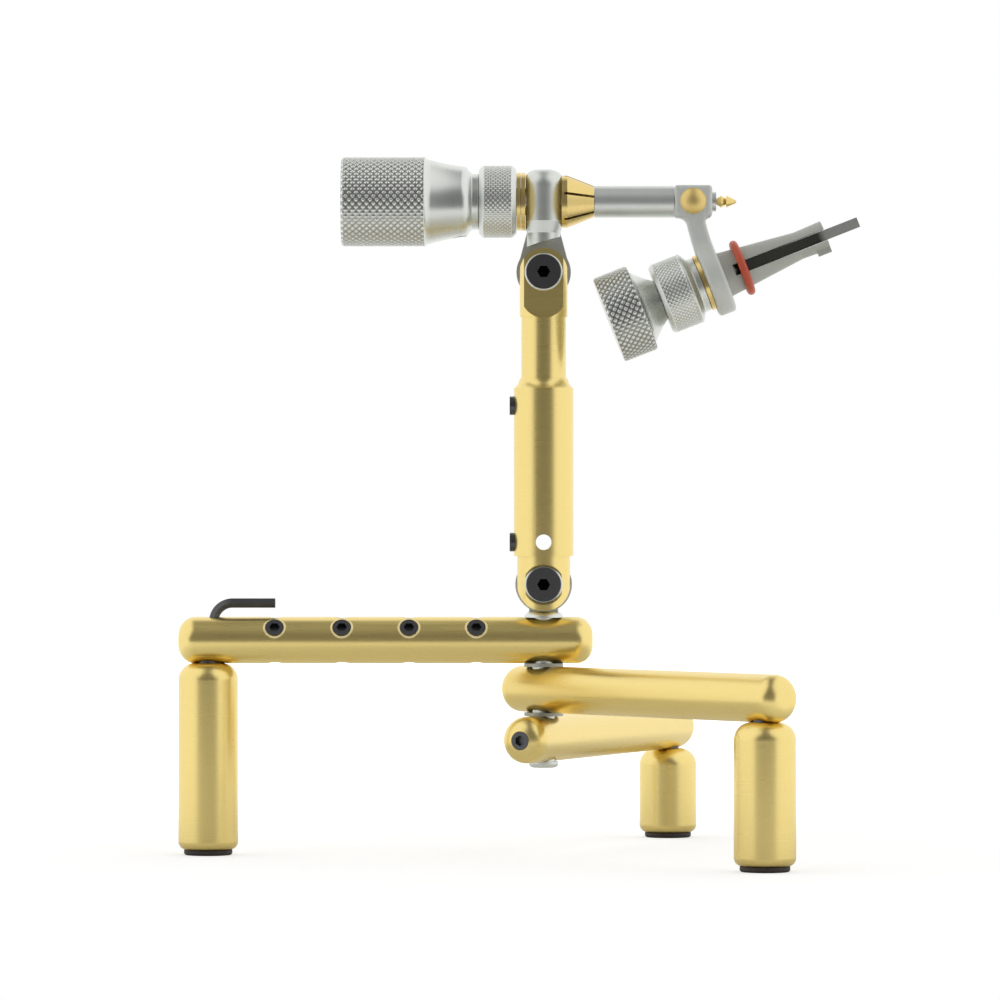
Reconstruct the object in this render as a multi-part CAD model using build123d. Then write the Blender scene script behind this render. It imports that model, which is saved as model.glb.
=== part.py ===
from build123d import *
import os
from math import cos, radians, sin, sqrt, tan

# Fly tying vise on a folding three-arm base, in millimetres.
# +Z is up, +X points along the rotary shaft to the jaw, -Y faces the tier.
# The origin is on the floor, under the vertical pivot of the base.

# Fits
RUN = 0.05            # radial running clearance of a shaft in its hole
FIT = 0.03            # radial clearance of a piece fixed in its seat
AXIAL = 0.1           # gap between flat faces that turn on each other
CLEAR = 0.35          # room round a lobe that swings past its neighbour
NEAR = 0.001          # points closer than this are the same

# Folding base
ARM_D = 12.5
ARM_END_R = 4.6       # rounding of the bar ends
ARM_LENGTH = 90.0     # pivot axis to leg axis
ARM_TAIL = 13.2       # bar length past the pivot
LOWER_ARM_TAIL = 16.2
LOWER_ARM_Z = 31.2    # axis of the lowest bar above the floor
PAD_DEPTH = 0.15      # flat spot milled on a bar under a washer or leg
PAD_MARGIN = 0.4
UPPER_ANGLE = 180.0
MIDDLE_ANGLE = -51.0
LOWER_ANGLE = 67.0
LEG_D = 16.0
LEG_TOP_R = 4.5
LEG_BASE_R = 2.2
FOOT_D = 13.0
FOOT_SHOW = 1.4
FOOT_EDGE = 0.4
FOOT_PLUG_D = 8.0
FOOT_PLUG = 5.0
STUD_D = 6.0
STUD_IN_ARM = 5.0
STUD_IN_LEG = 12.0
WASHER_D = 10.5
WASHER_T = 0.9
SET_SCREW_D = 5.0
DOG_D = 2.8           # plain point of a clamp screw
DOG_L = 1.2
SOCKET_AF = 2.5
SOCKET_DEPTH = 1.6

# Tool holes and the stored key in the upper arm
TOOL_COUNT = 4
TOOL_PITCH = 18.0
TOOL_SCREW_L = 1.75
TOOL_TILT = 35.0      # clamp screws look up from the front by this angle
SCREW_SET_BACK = 0.15  # clamp screws stand clear of an empty hole
KEY_AF = 2.5
KEY_FROM_LEG = 1.5
KEY_DEPTH = 4.2
KEY_HOLE_D = 3.5
KEY_BEND = 5.0
KEY_RISE = 3.7        # key axis above the top of the bar
KEY_LENGTH = 16.5

# Pivot and lower hinge
PIVOT_D = 6.0
FLARE_D = 10.3
FLARE_TOP_D = 7.8
FLARE_H = 1.45
FLARE_SAG = 0.35      # how far the foot of the knuckle bulges
NUT_D = 8.0
NUT_T = 1.7
NUT_EDGE_R = 1.2
KNUCKLE_OVER = 0.5    # the steel lobe is larger than the tang by this
KNUCKLE_T = 6.4
HINGE_SCREW_D = 5.0
SCREW_HEAD_D = 9.2
SCREW_HEAD_T = 1.8
SCREW_HEAD_FLOOR = 0.6  # metal left under the head's socket
RING_D = 10.2
RING_T = 0.7
HINGE_SOCKET_AF = 3.0

# Column
TUBE_D = 16.0
TUBE_RISE = 55.2      # top of the tube above the lower hinge
TUBE_WALL = 2.0
TUBE_SHOULDER_IN = 1.55
TUBE_SHOULDER = 2.6
TUBE_SHOULDER_R = 3.6
TANG_STEP = 0.9       # the tang is turned down by this from the tube
TANG_SEAT_IN = 1.9    # screw seat below the round of the tang
SEAT_D = 11.0
CROSS_BORE_D = 4.2
CROSS_BORE_RISE = 11.3
POST_SCREW_DROP = 7.3  # clamp screw below the top of the tube
SIDE_SCREW_OUT = 1.1
POST_BORE = 38.0

# Sliding post and upper hinge
POST_IN_TUBE = 21.0
POST_LIP = 0.4        # the post's head is this much larger in radius
POST_HEAD = 12.0      # foot of the post's head below the hinge axis
POST_RISE = 28.5      # upper hinge axis above the tube
POST_FLAT_IN = 2.74   # front flat below the round of the head
POST_FLAT_END_R = 6.0
POST_FLAT_FOOT = 0.4  # the flat runs this far past the foot of the head
POST_LEAD = 0.6       # chamfer at the foot of the post
UPPER_LAP = 1.0       # lap face of the upper hinge behind the post's axis
BRACKET_LOBE_OVER = 0.9  # the bracket's lobe is larger than the post's head by this
BRACKET_LOBE_T = 4.3

# Rotary head
BRACKET_RISE = 18.9   # shaft axis above the upper hinge
SPINDLE_D = 5.0
BRACKET_W = 9.66      # across the flats that carry the disc and the collet
BARREL_D = 11.6
BRACKET_NECK_D = 9.0
BRACKET_TOP = 8.6     # domed top above the shaft axis
BRACKET_DOME_R = 4.2
BRACKET_CONE_LOW = 8.4
BRACKET_CONE_HIGH = 5.2
NECK_CUT_ANGLE = 17.0  # slant of the neck's foot over the hinge
NOSE_D = 7.2
NOSE_END_GAP = 0.9
DISC_D = 15.5
DISC_T = 1.1
BRAKE_D = 19.4
BRAKE_L = 10.0
BRAKE_CHAMFER = 1.3
KNOB_D = 24.0
KNOB_GRIP = 22.9
KNOB_EDGE_R = 1.5
KNOB_CONE_D = 18.7
KNOB_CONE = 10.5
KNOB_CONE_SAG = 0.75
KNOB_STEP = 1.6
KNOB_RIM = 0.55       # small bevel where the grip meets the cone
KNOB_NECK_D = 15.0
KNOB_NECK = 1.8
KNOB_BORE = 29.0
KNOB_SCREW_D = 4.0
KNOB_SCREW_BACK = 1.6  # set screw behind the foot of the cone
COLLET_D = 14.0
COLLET_TIP_D = 8.3
COLLET_L = 8.7
COLLET_RIM = 1.5
COLLET_SPIGOT_D = 6.8
COLLET_SPIGOT = 3.3
COLLET_SLOT = 0.7
COLLET_SLOT_L = 8.0
COLLET_SLOTS = 6
COLLET_SLOT_TURN = 14.0
SLEEVE_D = 8.5
SLEEVE_L = 21.3

# Swan-neck arm
BLOCK_L = 10.2
BLOCK_H = 8.6
BLOCK_W = 9.0
BLOCK_BORE_D = 5.0
NECK_REAR_FILLET = 2.6
NECK_FRONT_FILLET = 1.2
NECK_STRAIGHT = 5.0   # straight part of the neck above the jaw axis
NECK_SHIFT = 2.0      # how far the neck bends forward by the shaft axis
BUTTON_D = 7.0
BUTTON_OUT = 1.6
BUTTON_STEM_D = 3.0
BUTTON_STEM = 1.6
TAIL_FLANGE_D = 5.3
TAIL_FLANGE_T = 1.1
POINTER_D = 3.3
POINTER_L = 5.4
POINTER_WAIST_D = 1.5
POINTER_STEM_D = 1.8
POINTER_STEM = 4.0

# Jaw, along its own slanting axis from the middle of the eye's rear face
JAW_ANGLE = 21.5
JAW_X = 44.7
JAW_DROP = 21.1       # jaw axis below the shaft axis
EYE_R = 10.0
EYE_REAR = -1.1
EYE_T = 4.9
EYE_BLEND_R = 6.0
SHANK_D = 8.0
JAW_WASHER_D = 15.5
JAW_WASHER_T = 1.1
LOCK_COLLAR_D = 14.8
LOCK_COLLAR = 1.8
LOCK_CHAMFER = 1.5
LOCK_D = 19.5
LOCK_L = 10.1
JAW_KNOB_D = 24.0
JAW_KNOB_GRIP = 9.6
JAW_KNOB_EDGE_R = 1.3
JAW_KNOB_FLARE = 5.3
JAW_KNOB_FLARE_D = 20.4
JAW_KNOB_NECK_D = 11.0
JAW_KNOB_FLARE_SAG = 0.3
SHANK_IN_KNOB = 4.0
HOLDER_D = 12.3
HOLDER_CONE = 21.5
HOLDER_NOSE_D = 7.5
HOLDER_L = 29.2
HOLDER_END_D = 8.0
LIP_L = 3.6
LIP_H = 0.8
SLOT_H = 3.1
SLOT_FROM_EYE = 2.9
RING_CORD_D = 2.6
RING_OUTER_D = 15.8
RING_FROM_EYE = 5.3
ROD_D = 4.0
ROD_HOLE_IN_KNOB = 8.0
ROD_TRAVEL = 0.75     # the rod is drawn back by this, as when the jaw is open
ROD_CONE_FROM_EYE = 4.3
ROD_CONE_TIP_D = 0.8
ROD_CONE_ANGLE = 25.0
LEAF_H = 2.7
LEAF_OUT = 9.5        # leaf tips past the end of the holder
LEAF_REAR_FROM_EYE = 4.4
LEAF_REAR_W = 5.1
LEAF_NOSE_W = 2.2
LEAF_TIP_W = 1.0
LEAF_GAP = 0.05       # each leaf's gripping face off the middle plane
LEAF_RELIEF = 0.45
FULCRUM_D = 2.0
FULCRUM_FROM_EYE = 12.2
FULCRUM_OVERHANG = 1.9

# Places worked out from the sizes above
ARM_R = ARM_D / 2
ARM_PITCH = ARM_D - 2 * PAD_DEPTH + WASHER_T + AXIAL
MIDDLE_ARM_Z = LOWER_ARM_Z + ARM_PITCH
UPPER_ARM_Z = MIDDLE_ARM_Z + ARM_PITCH
PIVOT_PAD_R = max(WASHER_D, FLARE_D) / 2 + PAD_MARGIN
LEG_PAD_R = LEG_D / 2 - LEG_TOP_R + sqrt(LEG_TOP_R ** 2 - (LEG_TOP_R - PAD_DEPTH) ** 2) + PAD_MARGIN
SEAT_TOP = UPPER_ARM_Z + ARM_R - PAD_DEPTH
SEAT_BOTTOM = LOWER_ARM_Z - ARM_R + PAD_DEPTH
TOOL_BORE_D = CROSS_BORE_D
TANG_D = TUBE_D - 2 * TANG_STEP
FLARE_TOP = SEAT_TOP + FLARE_H
LOWER_HINGE_Z = FLARE_TOP + CLEAR + TANG_D / 2
TUBE_TOP = LOWER_HINGE_Z + TUBE_RISE
TUBE_SHOULDER_D = TUBE_D - 2 * TUBE_SHOULDER_IN
TANG_SEAT = TANG_D / 2 - TANG_SEAT_IN
KNUCKLE_R = TANG_D / 2 + KNUCKLE_OVER
TANG_FOOT = LOWER_HINGE_Z + KNUCKLE_R
CROSS_BORE_Z = LOWER_HINGE_Z + CROSS_BORE_RISE
POST_SCREW_Z = TUBE_TOP - POST_SCREW_DROP
POST_D = TUBE_D - 2 * TUBE_WALL
POST_HEAD_D = POST_D + 2 * POST_LIP
POST_FLAT = POST_HEAD_D / 2 - POST_FLAT_IN
BRACKET_LOBE_R = POST_HEAD_D / 2 + BRACKET_LOBE_OVER
UPPER_HINGE_Z = TUBE_TOP + POST_RISE
SHAFT_Z = UPPER_HINGE_Z + BRACKET_RISE
JAW_Z = SHAFT_Z - JAW_DROP
KEY_X = -(ARM_LENGTH - KEY_FROM_LEG)
KEY_Z = UPPER_ARM_Z + ARM_R + KEY_RISE
FRICTION_X = -BRACKET_W / 2 - AXIAL - DISC_T
DISC_X = FRICTION_X - AXIAL - DISC_T
BRAKE_X = DISC_X - AXIAL - BRAKE_L
KNOB_X = BRAKE_X - AXIAL
KNOB_SCREW_X = KNOB_X - KNOB_NECK - KNOB_STEP - KNOB_SCREW_BACK
COLLET_X = BRACKET_W / 2
SLEEVE_X = COLLET_X + COLLET_L + AXIAL
BLOCK_X = SLEEVE_X + SLEEVE_L
POINTER_X = BLOCK_X + BLOCK_L + TAIL_FLANGE_T
EYE_FRONT = EYE_REAR + EYE_T
HOLDER_S = EYE_FRONT + AXIAL
JAW_WASHER_S = EYE_REAR - AXIAL - JAW_WASHER_T
LOCK_S = JAW_WASHER_S - AXIAL
JAW_KNOB_S = LOCK_S - LOCK_COLLAR - LOCK_L - AXIAL
SHANK_END = JAW_KNOB_S - SHANK_IN_KNOB
HOLDER_END = HOLDER_S + HOLDER_L
FULCRUM_S = HOLDER_S + FULCRUM_FROM_EYE
LEAF_REAR = HOLDER_S + LEAF_REAR_FROM_EYE
LEAF_TIP = HOLDER_END + LEAF_OUT
ROD_CONE_S = HOLDER_S + ROD_CONE_FROM_EYE
ROD_TIP_S = ROD_CONE_S + (ROD_D - ROD_CONE_TIP_D) / 2 / tan(radians(ROD_CONE_ANGLE))
JAW = Plane(
    origin=(JAW_X, 0, JAW_Z),
    x_dir=(-sin(radians(JAW_ANGLE)), 0, cos(radians(JAW_ANGLE))),
    z_dir=(cos(radians(JAW_ANGLE)), 0, sin(radians(JAW_ANGLE))),
).location


# Shapes used by several pieces
def rod_z(radius, low, high, x=0, y=0):
    return Pos(x, y, (low + high) / 2) * Cylinder(radius, high - low)


def rod_x(radius, low, high, y=0, z=0):
    return Pos((low + high) / 2, y, z) * Rot(0, 90, 0) * Cylinder(radius, high - low)


def rod_y(radius, low, high, x=0, z=0):
    return Pos(x, (low + high) / 2, z) * Rot(90, 0, 0) * Cylinder(radius, high - low)


def block(x, y, z):
    """A box from three (low, high) pairs."""
    centre = Pos((x[0] + x[1]) / 2, (y[0] + y[1]) / 2, (z[0] + z[1]) / 2)
    return centre * Box(x[1] - x[0], y[1] - y[0], z[1] - z[0])


def turned(*lines):
    """Turn an outline of (radius, height) lines and arcs about Z, closed along the axis."""
    start = lines[0] @ 0
    end = lines[-1] @ 1
    closing = [end, Vector(0, end.Y), Vector(0, start.Y), start]
    corners = [a for a, b in zip(closing, closing[1:]) if (a - b).length > NEAR] + [start]
    edges = [edge for part in lines for edge in part.edges()] + Polyline(*corners).edges()
    return revolve(Plane.XZ * make_face(edges), Axis.Z)


def along_x(solid, x=0, z=0):
    """Lay a piece turned about Z along +X, its height becoming X."""
    return Pos(x, 0, z) * Rot(0, 90, 0) * solid


def hexagon(across_flats):
    return RegularPolygon(across_flats / 2, 6, major_radius=False)


def set_screw(diameter, length, socket, point=0):
    """A grub screw from z = 0 inside to z = length outside, with a hex socket and a plain point."""
    screw = rod_z(diameter / 2, 0, length)
    if point > 0:
        screw += rod_z(DOG_D / 2, -point, 0)
    return screw - Pos(0, 0, length - SOCKET_DEPTH) * extrude(hexagon(socket), SOCKET_DEPTH)


def hinge_screw(length):
    """A flat low-head screw from z = -length to its head above z = 0, with a hex socket."""
    screw = rod_z(HINGE_SCREW_D / 2, -length, 0) + rod_z(SCREW_HEAD_D / 2, 0, SCREW_HEAD_T)
    socket = extrude(hexagon(HINGE_SOCKET_AF), SCREW_HEAD_T)
    return screw - Pos(0, 0, SCREW_HEAD_FLOOR) * socket


def ring(outer, inner, low, high):
    return rod_z(outer / 2, low, high) - rod_z(inner / 2, low, high)


# Folding base
def base_arm(z, tail=ARM_TAIL):
    """One round bar along +X from the pivot, with seats for its neighbours and its leg."""
    bar = rod_x(ARM_R, -tail, ARM_LENGTH + LEG_D / 2, z=z)
    bar = fillet(bar.edges().filter_by(GeomType.CIRCLE), ARM_END_R)
    bar -= rod_z(PIVOT_PAD_R, z + ARM_R - PAD_DEPTH, z + ARM_R + PAD_DEPTH)
    bar -= rod_z(PIVOT_PAD_R, z - ARM_R - PAD_DEPTH, z - ARM_R + PAD_DEPTH)
    leg_seat = z - ARM_R + PAD_DEPTH
    bar -= rod_z(LEG_PAD_R, leg_seat - 2 * PAD_DEPTH, leg_seat, x=ARM_LENGTH)
    bar -= rod_z(STUD_D / 2 + FIT, leg_seat, leg_seat + STUD_IN_ARM, x=ARM_LENGTH)
    return bar - rod_z(PIVOT_D / 2 + RUN, z - ARM_D, z + ARM_D)


def base_leg(z):
    top = z - ARM_R + PAD_DEPTH
    leg = rod_z(LEG_D / 2, FOOT_SHOW, top, x=ARM_LENGTH)
    rims = leg.edges().filter_by(GeomType.CIRCLE).sort_by(Axis.Z)
    leg = fillet(rims[-1], LEG_TOP_R)
    rims = leg.edges().filter_by(GeomType.CIRCLE).sort_by(Axis.Z)
    leg = fillet(rims[0], LEG_BASE_R)
    leg -= rod_z(STUD_D / 2 + FIT, top - STUD_IN_LEG, top, x=ARM_LENGTH)
    return leg - rod_z(FOOT_PLUG_D / 2 + FIT, FOOT_SHOW, FOOT_SHOW + FOOT_PLUG, x=ARM_LENGTH)


def leg_stud(z):
    top = z - ARM_R + PAD_DEPTH
    return rod_z(STUD_D / 2, top - STUD_IN_LEG, top + STUD_IN_ARM, x=ARM_LENGTH)


def rubber_foot():
    pad = rod_z(FOOT_D / 2, 0, FOOT_SHOW, x=ARM_LENGTH)
    pad = chamfer(pad.edges().filter_by(GeomType.CIRCLE).sort_by(Axis.Z)[0], FOOT_EDGE)
    return pad + rod_z(FOOT_PLUG_D / 2, FOOT_SHOW, FOOT_SHOW + FOOT_PLUG, x=ARM_LENGTH)


def tool_places():
    """A frame at each tool hole, its Z along the clamp screw and out of the front."""
    tilt = radians(TOOL_TILT)
    out = (0, -cos(tilt), sin(tilt))
    return [
        Plane(origin=(-TOOL_PITCH * (i + 1), 0, UPPER_ARM_Z), x_dir=(1, 0, 0), z_dir=out).location
        for i in range(TOOL_COUNT)
    ]


def tool_screw_start(radius):
    """Along a tilted clamp screw, where an end of this radius just clears the tool hole."""
    tilt = radians(TOOL_TILT)
    return (TOOL_BORE_D / 2 + SCREW_SET_BACK + radius * sin(tilt)) / cos(tilt)


def upper_arm():
    bar = Rot(0, 0, UPPER_ANGLE) * base_arm(UPPER_ARM_Z)
    seat = tool_screw_start(SET_SCREW_D / 2)
    for place in tool_places():
        bar -= rod_z(TOOL_BORE_D / 2, UPPER_ARM_Z - ARM_D, UPPER_ARM_Z + ARM_D, x=place.position.X)
        bar -= place * rod_z(DOG_D / 2 + FIT, 0, ARM_D)
        bar -= place * rod_z(SET_SCREW_D / 2 + FIT, seat, ARM_D)
    top = UPPER_ARM_Z + ARM_R
    return bar - rod_z(KEY_HOLE_D / 2, top - KEY_DEPTH, top + ARM_R, x=KEY_X)


def tool_screws():
    start = tool_screw_start(SET_SCREW_D / 2)
    screw = set_screw(SET_SCREW_D, TOOL_SCREW_L, SOCKET_AF, start - tool_screw_start(DOG_D / 2))
    return Part() + [place * Pos(0, 0, start) * screw for place in tool_places()]


def lower_arm():
    bar = base_arm(LOWER_ARM_Z, LOWER_ARM_TAIL)
    bar -= rod_x(SET_SCREW_D / 2 + FIT, -LOWER_ARM_TAIL, 0, z=LOWER_ARM_Z)
    return Rot(0, 0, LOWER_ANGLE) * bar


def lower_arm_screw():
    """The grub screw in the end of the lowest bar that bears on the pivot."""
    start = PIVOT_D / 2 + RUN + SCREW_SET_BACK
    screw = set_screw(SET_SCREW_D, LOWER_ARM_TAIL - start, SOCKET_AF)
    return Rot(0, 0, LOWER_ANGLE) * Pos(-start, 0, LOWER_ARM_Z) * Rot(0, -90, 0) * screw


def pivot_washer(z):
    """The washer that lies on the bar whose axis is at z."""
    low = z + ARM_R - PAD_DEPTH
    return ring(WASHER_D, PIVOT_D + 2 * RUN, low, low + WASHER_T)


def hex_key():
    foot = UPPER_ARM_Z + ARM_R - KEY_DEPTH + AXIAL
    end_x = KEY_X + KEY_LENGTH
    upright = Line((KEY_X, 0, foot), (KEY_X, 0, KEY_Z - KEY_BEND))
    bend = TangentArc(upright @ 1, (KEY_X + KEY_BEND, 0, KEY_Z), tangent=upright % 1)
    path = Wire([upright, bend, Line(bend @ 1, (end_x, 0, KEY_Z))])
    return sweep(Plane(origin=path @ 0, x_dir=(0, 1, 0), z_dir=path % 0) * hexagon(KEY_AF), path=path)


# Pivot, column and post
def pivot_knuckle():
    """Steel lobe, flared foot and the stud that the three bars turn on, in one piece."""
    foot = turned(SagittaArc((FLARE_D / 2, SEAT_TOP), (FLARE_TOP_D / 2, FLARE_TOP), -FLARE_SAG))
    neck = rod_z(FLARE_TOP_D / 2, SEAT_TOP, LOWER_HINGE_Z)
    lobe = rod_y(KNUCKLE_R, AXIAL, KNUCKLE_T, z=LOWER_HINGE_Z)
    neck -= block((-TANG_D, TANG_D), (-TANG_D, AXIAL), (FLARE_TOP, LOWER_HINGE_Z + TANG_D))
    lobe -= block((-TANG_D, TANG_D), (0, TANG_D), (SEAT_TOP - TANG_D, SEAT_TOP))
    stud = rod_z(PIVOT_D / 2, SEAT_BOTTOM - NUT_T / 2, SEAT_TOP)
    knuckle = foot + neck + lobe + stud
    return knuckle - rod_y(HINGE_SCREW_D / 2 + FIT, 0, KNUCKLE_T, z=LOWER_HINGE_Z)


def pivot_nut():
    """Domed nut under the lowest bar."""
    nut = rod_z(NUT_D / 2, SEAT_BOTTOM - NUT_T, SEAT_BOTTOM)
    nut = fillet(nut.edges().filter_by(GeomType.CIRCLE).sort_by(Axis.Z)[0], NUT_EDGE_R)
    return nut - rod_z(PIVOT_D / 2 + FIT, SEAT_BOTTOM - NUT_T / 2, SEAT_BOTTOM)


def column_tube():
    """Tube for the post, turned down at the foot to a half-lap tang round the hinge."""
    shoulder = (TUBE_D / 2, TUBE_TOP - TUBE_SHOULDER)
    tube = turned(
        Polyline((TUBE_D / 2, TANG_FOOT), shoulder),
        RadiusArc(shoulder, (TUBE_SHOULDER_D / 2, TUBE_TOP), TUBE_SHOULDER_R),
    )
    tang = rod_z(TANG_D / 2, LOWER_HINGE_Z, TANG_FOOT)
    tang += rod_y(TANG_D / 2, -TANG_D / 2, 0, z=LOWER_HINGE_Z)
    tube += tang & rod_z(TANG_D / 2, LOWER_HINGE_Z - TANG_D, TANG_FOOT)
    tube -= block((-TUBE_D, TUBE_D), (-AXIAL, TUBE_D), (LOWER_HINGE_Z - TANG_D, LOWER_HINGE_Z))
    tube -= rod_y(KNUCKLE_R + CLEAR, -AXIAL, TUBE_D, z=LOWER_HINGE_Z)
    tube -= rod_y(SEAT_D / 2, -TUBE_D, -TANG_SEAT, z=LOWER_HINGE_Z)
    tube -= rod_y(HINGE_SCREW_D / 2 + RUN, -TUBE_D, 0, z=LOWER_HINGE_Z)
    tube -= rod_z(POST_D / 2 + RUN, TUBE_TOP - POST_BORE, TUBE_TOP)
    tube -= rod_y(CROSS_BORE_D / 2, -TUBE_D, TUBE_D, z=CROSS_BORE_Z)
    tube -= rod_x(DOG_D / 2 + FIT, -TUBE_D, 0, z=CROSS_BORE_Z)
    tube -= rod_x(SET_SCREW_D / 2 + FIT, -TUBE_D, -CROSS_BORE_D / 2 - DOG_L, z=CROSS_BORE_Z)
    return tube - rod_x(SET_SCREW_D / 2 + FIT, -TUBE_D, 0, z=POST_SCREW_Z)


def side_screw(z, inner, point=0):
    """A clamp screw from radius inner out through the left of the column."""
    length = TUBE_D / 2 + SIDE_SCREW_OUT - inner
    return Pos(-inner, 0, z) * Rot(0, -90, 0) * set_screw(SET_SCREW_D, length, SOCKET_AF, point)


def lap_screw(seat, z, grip):
    """A hinge screw and the bright ring under its head, on a seat at y = -seat."""
    place = Pos(0, -seat, z) * Rot(90, 0, 0)
    screw = place * Pos(0, 0, RING_T) * hinge_screw(RING_T + seat + grip)
    return screw, place * ring(RING_D, HINGE_SCREW_D + 2 * FIT, 0, RING_T)


def sliding_post():
    """Post with a milled front flat and a rear half-lap at the upper hinge."""
    head_foot = UPPER_HINGE_Z - POST_HEAD
    top = UPPER_HINGE_Z + POST_HEAD_D
    across = (-POST_HEAD_D, POST_HEAD_D)
    post = rod_z(POST_D / 2, TUBE_TOP - POST_IN_TUBE, UPPER_HINGE_Z)
    post = chamfer(post.edges().filter_by(GeomType.CIRCLE).sort_by(Axis.Z)[0], POST_LEAD)
    post += rod_z(POST_HEAD_D / 2, head_foot, UPPER_HINGE_Z)
    crown = rod_y(POST_HEAD_D / 2, *across, z=UPPER_HINGE_Z)
    post += crown & rod_z(POST_HEAD_D / 2, UPPER_HINGE_Z - POST_HEAD_D, top)
    flat_end = head_foot + POST_FLAT_END_R - POST_FLAT_FOOT
    post -= rod_y(POST_FLAT_END_R, -POST_HEAD_D, -POST_FLAT, z=flat_end)
    post -= block(across, (-POST_HEAD_D, -POST_FLAT), (flat_end, top))
    post -= rod_y(BRACKET_LOBE_R + CLEAR, UPPER_LAP - AXIAL, POST_HEAD_D, z=UPPER_HINGE_Z)
    post -= block(across, (UPPER_LAP - AXIAL, POST_HEAD_D), (UPPER_HINGE_Z, top))
    return post - rod_y(HINGE_SCREW_D / 2 + RUN, *across, z=UPPER_HINGE_Z)


# Rotary head
def head_bracket():
    """Barrel with two flats for the shaft, a nose for the brake, and a flat lobe below."""
    neck_low = UPPER_HINGE_Z + POST_HEAD_D / 2 + CLEAR
    cone_low = SHAFT_Z - BRACKET_CONE_LOW
    top = SHAFT_Z + BRACKET_TOP
    post = turned(
        Polyline(
            (BRACKET_NECK_D / 2, UPPER_HINGE_Z), (BRACKET_NECK_D / 2, cone_low),
            (BARREL_D / 2, SHAFT_Z - BRACKET_CONE_HIGH), (BARREL_D / 2, top),
        )
    )
    post = fillet(post.edges().filter_by(GeomType.CIRCLE).sort_by(Axis.Z)[-1], BRACKET_DOME_R)
    post &= block((-BRACKET_W / 2, BRACKET_W / 2), (-BARREL_D, BARREL_D), (UPPER_HINGE_Z, top))
    # The neck's foot slants, so that the head tilts back further than forward
    below = block((-BARREL_D, 2 * BARREL_D), (-BARREL_D, BARREL_D), (-2 * BARREL_D, 0))
    post -= Pos(-BRACKET_NECK_D / 2, 0, neck_low) * Rot(0, -NECK_CUT_ANGLE, 0) * below
    lobe_rear = UPPER_LAP + BRACKET_LOBE_T
    lobe = rod_y(BRACKET_LOBE_R, UPPER_LAP, lobe_rear, z=UPPER_HINGE_Z)
    web = Polyline(
        (-BRACKET_LOBE_R, UPPER_HINGE_Z), (BRACKET_LOBE_R, UPPER_HINGE_Z),
        (BRACKET_NECK_D / 2, cone_low), (-BRACKET_NECK_D / 2, cone_low), close=True,
    )
    web = Pos(0, lobe_rear, 0) * extrude(Plane.XZ * make_face(web), lobe_rear - UPPER_LAP)
    web &= rod_z(BRACKET_LOBE_R, UPPER_HINGE_Z, cone_low)
    nose = rod_x(NOSE_D / 2, KNOB_X + NOSE_END_GAP, 0, z=SHAFT_Z)
    bracket = post + lobe + web + nose
    bracket -= rod_x(SPINDLE_D / 2 + RUN, KNOB_X, BARREL_D, z=SHAFT_Z)
    bracket -= rod_x(COLLET_SPIGOT_D / 2 + FIT, COLLET_X - COLLET_SPIGOT, BARREL_D, z=SHAFT_Z)
    return bracket - rod_y(HINGE_SCREW_D / 2 + FIT, 0, lobe_rear, z=UPPER_HINGE_Z)


def brass_disc(x):
    return along_x(ring(DISC_D, NOSE_D + 2 * RUN, 0, DISC_T), x, SHAFT_Z)


def brake_ring():
    grip = rod_z(BRAKE_D / 2, 0, BRAKE_L)
    grip = chamfer(grip.edges().filter_by(GeomType.CIRCLE), BRAKE_CHAMFER)
    return along_x(grip - rod_z(NOSE_D / 2 + RUN, 0, BRAKE_L), BRAKE_X, SHAFT_Z)


def collet():
    """Brass cone split by slots, seated in the bracket."""
    cone = turned(Polyline((COLLET_D / 2, 0), (COLLET_D / 2, COLLET_RIM), (COLLET_TIP_D / 2, COLLET_L)))
    cone += rod_z(COLLET_SPIGOT_D / 2, -COLLET_SPIGOT, 0)
    cone -= rod_z(SPINDLE_D / 2 + RUN, -COLLET_SPIGOT, COLLET_L)
    half = COLLET_SLOT / 2
    slot = block((-COLLET_D, COLLET_D), (-half, half), (COLLET_L - COLLET_SLOT_L, COLLET_L))
    for i in range(COLLET_SLOTS // 2):
        cone -= Rot(0, 0, COLLET_SLOT_TURN + i * 360 / COLLET_SLOTS) * slot
    return along_x(cone, COLLET_X, SHAFT_Z)


def rotary_knob():
    """Turned knob: grip, hollow cone, stepped neck, blind bore and a set screw hole below."""
    neck_end = -KNOB_NECK
    step_end = neck_end - KNOB_STEP
    cone_end = step_end - KNOB_CONE
    end = cone_end - KNOB_GRIP
    grip_rim = (KNOB_D / 2 - KNOB_RIM, cone_end)
    knob = turned(
        Polyline((KNOB_D / 2, end), (KNOB_D / 2, cone_end - KNOB_RIM), grip_rim),
        SagittaArc(grip_rim, (KNOB_CONE_D / 2, step_end), KNOB_CONE_SAG),
        Polyline((KNOB_CONE_D / 2, step_end), (KNOB_NECK_D / 2, neck_end), (KNOB_NECK_D / 2, 0)),
    )
    knob = fillet(knob.edges().filter_by(GeomType.CIRCLE).sort_by(Axis.Z)[0], KNOB_EDGE_R)
    knob -= rod_z(SPINDLE_D / 2 + FIT, -KNOB_BORE, 0)
    knob = along_x(knob, KNOB_X, SHAFT_Z)
    return knob - rod_z(KNOB_SCREW_D / 2 + FIT, SHAFT_Z - KNOB_D, SHAFT_Z, x=KNOB_SCREW_X)


def knob_set_screw():
    inner = SPINDLE_D / 2
    screw = set_screw(KNOB_SCREW_D, KNOB_CONE_D / 2 - SOCKET_DEPTH / 2 - inner, KNOB_SCREW_D / 2)
    return Pos(KNOB_SCREW_X, 0, SHAFT_Z - inner) * Rot(180, 0, 0) * screw


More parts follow.
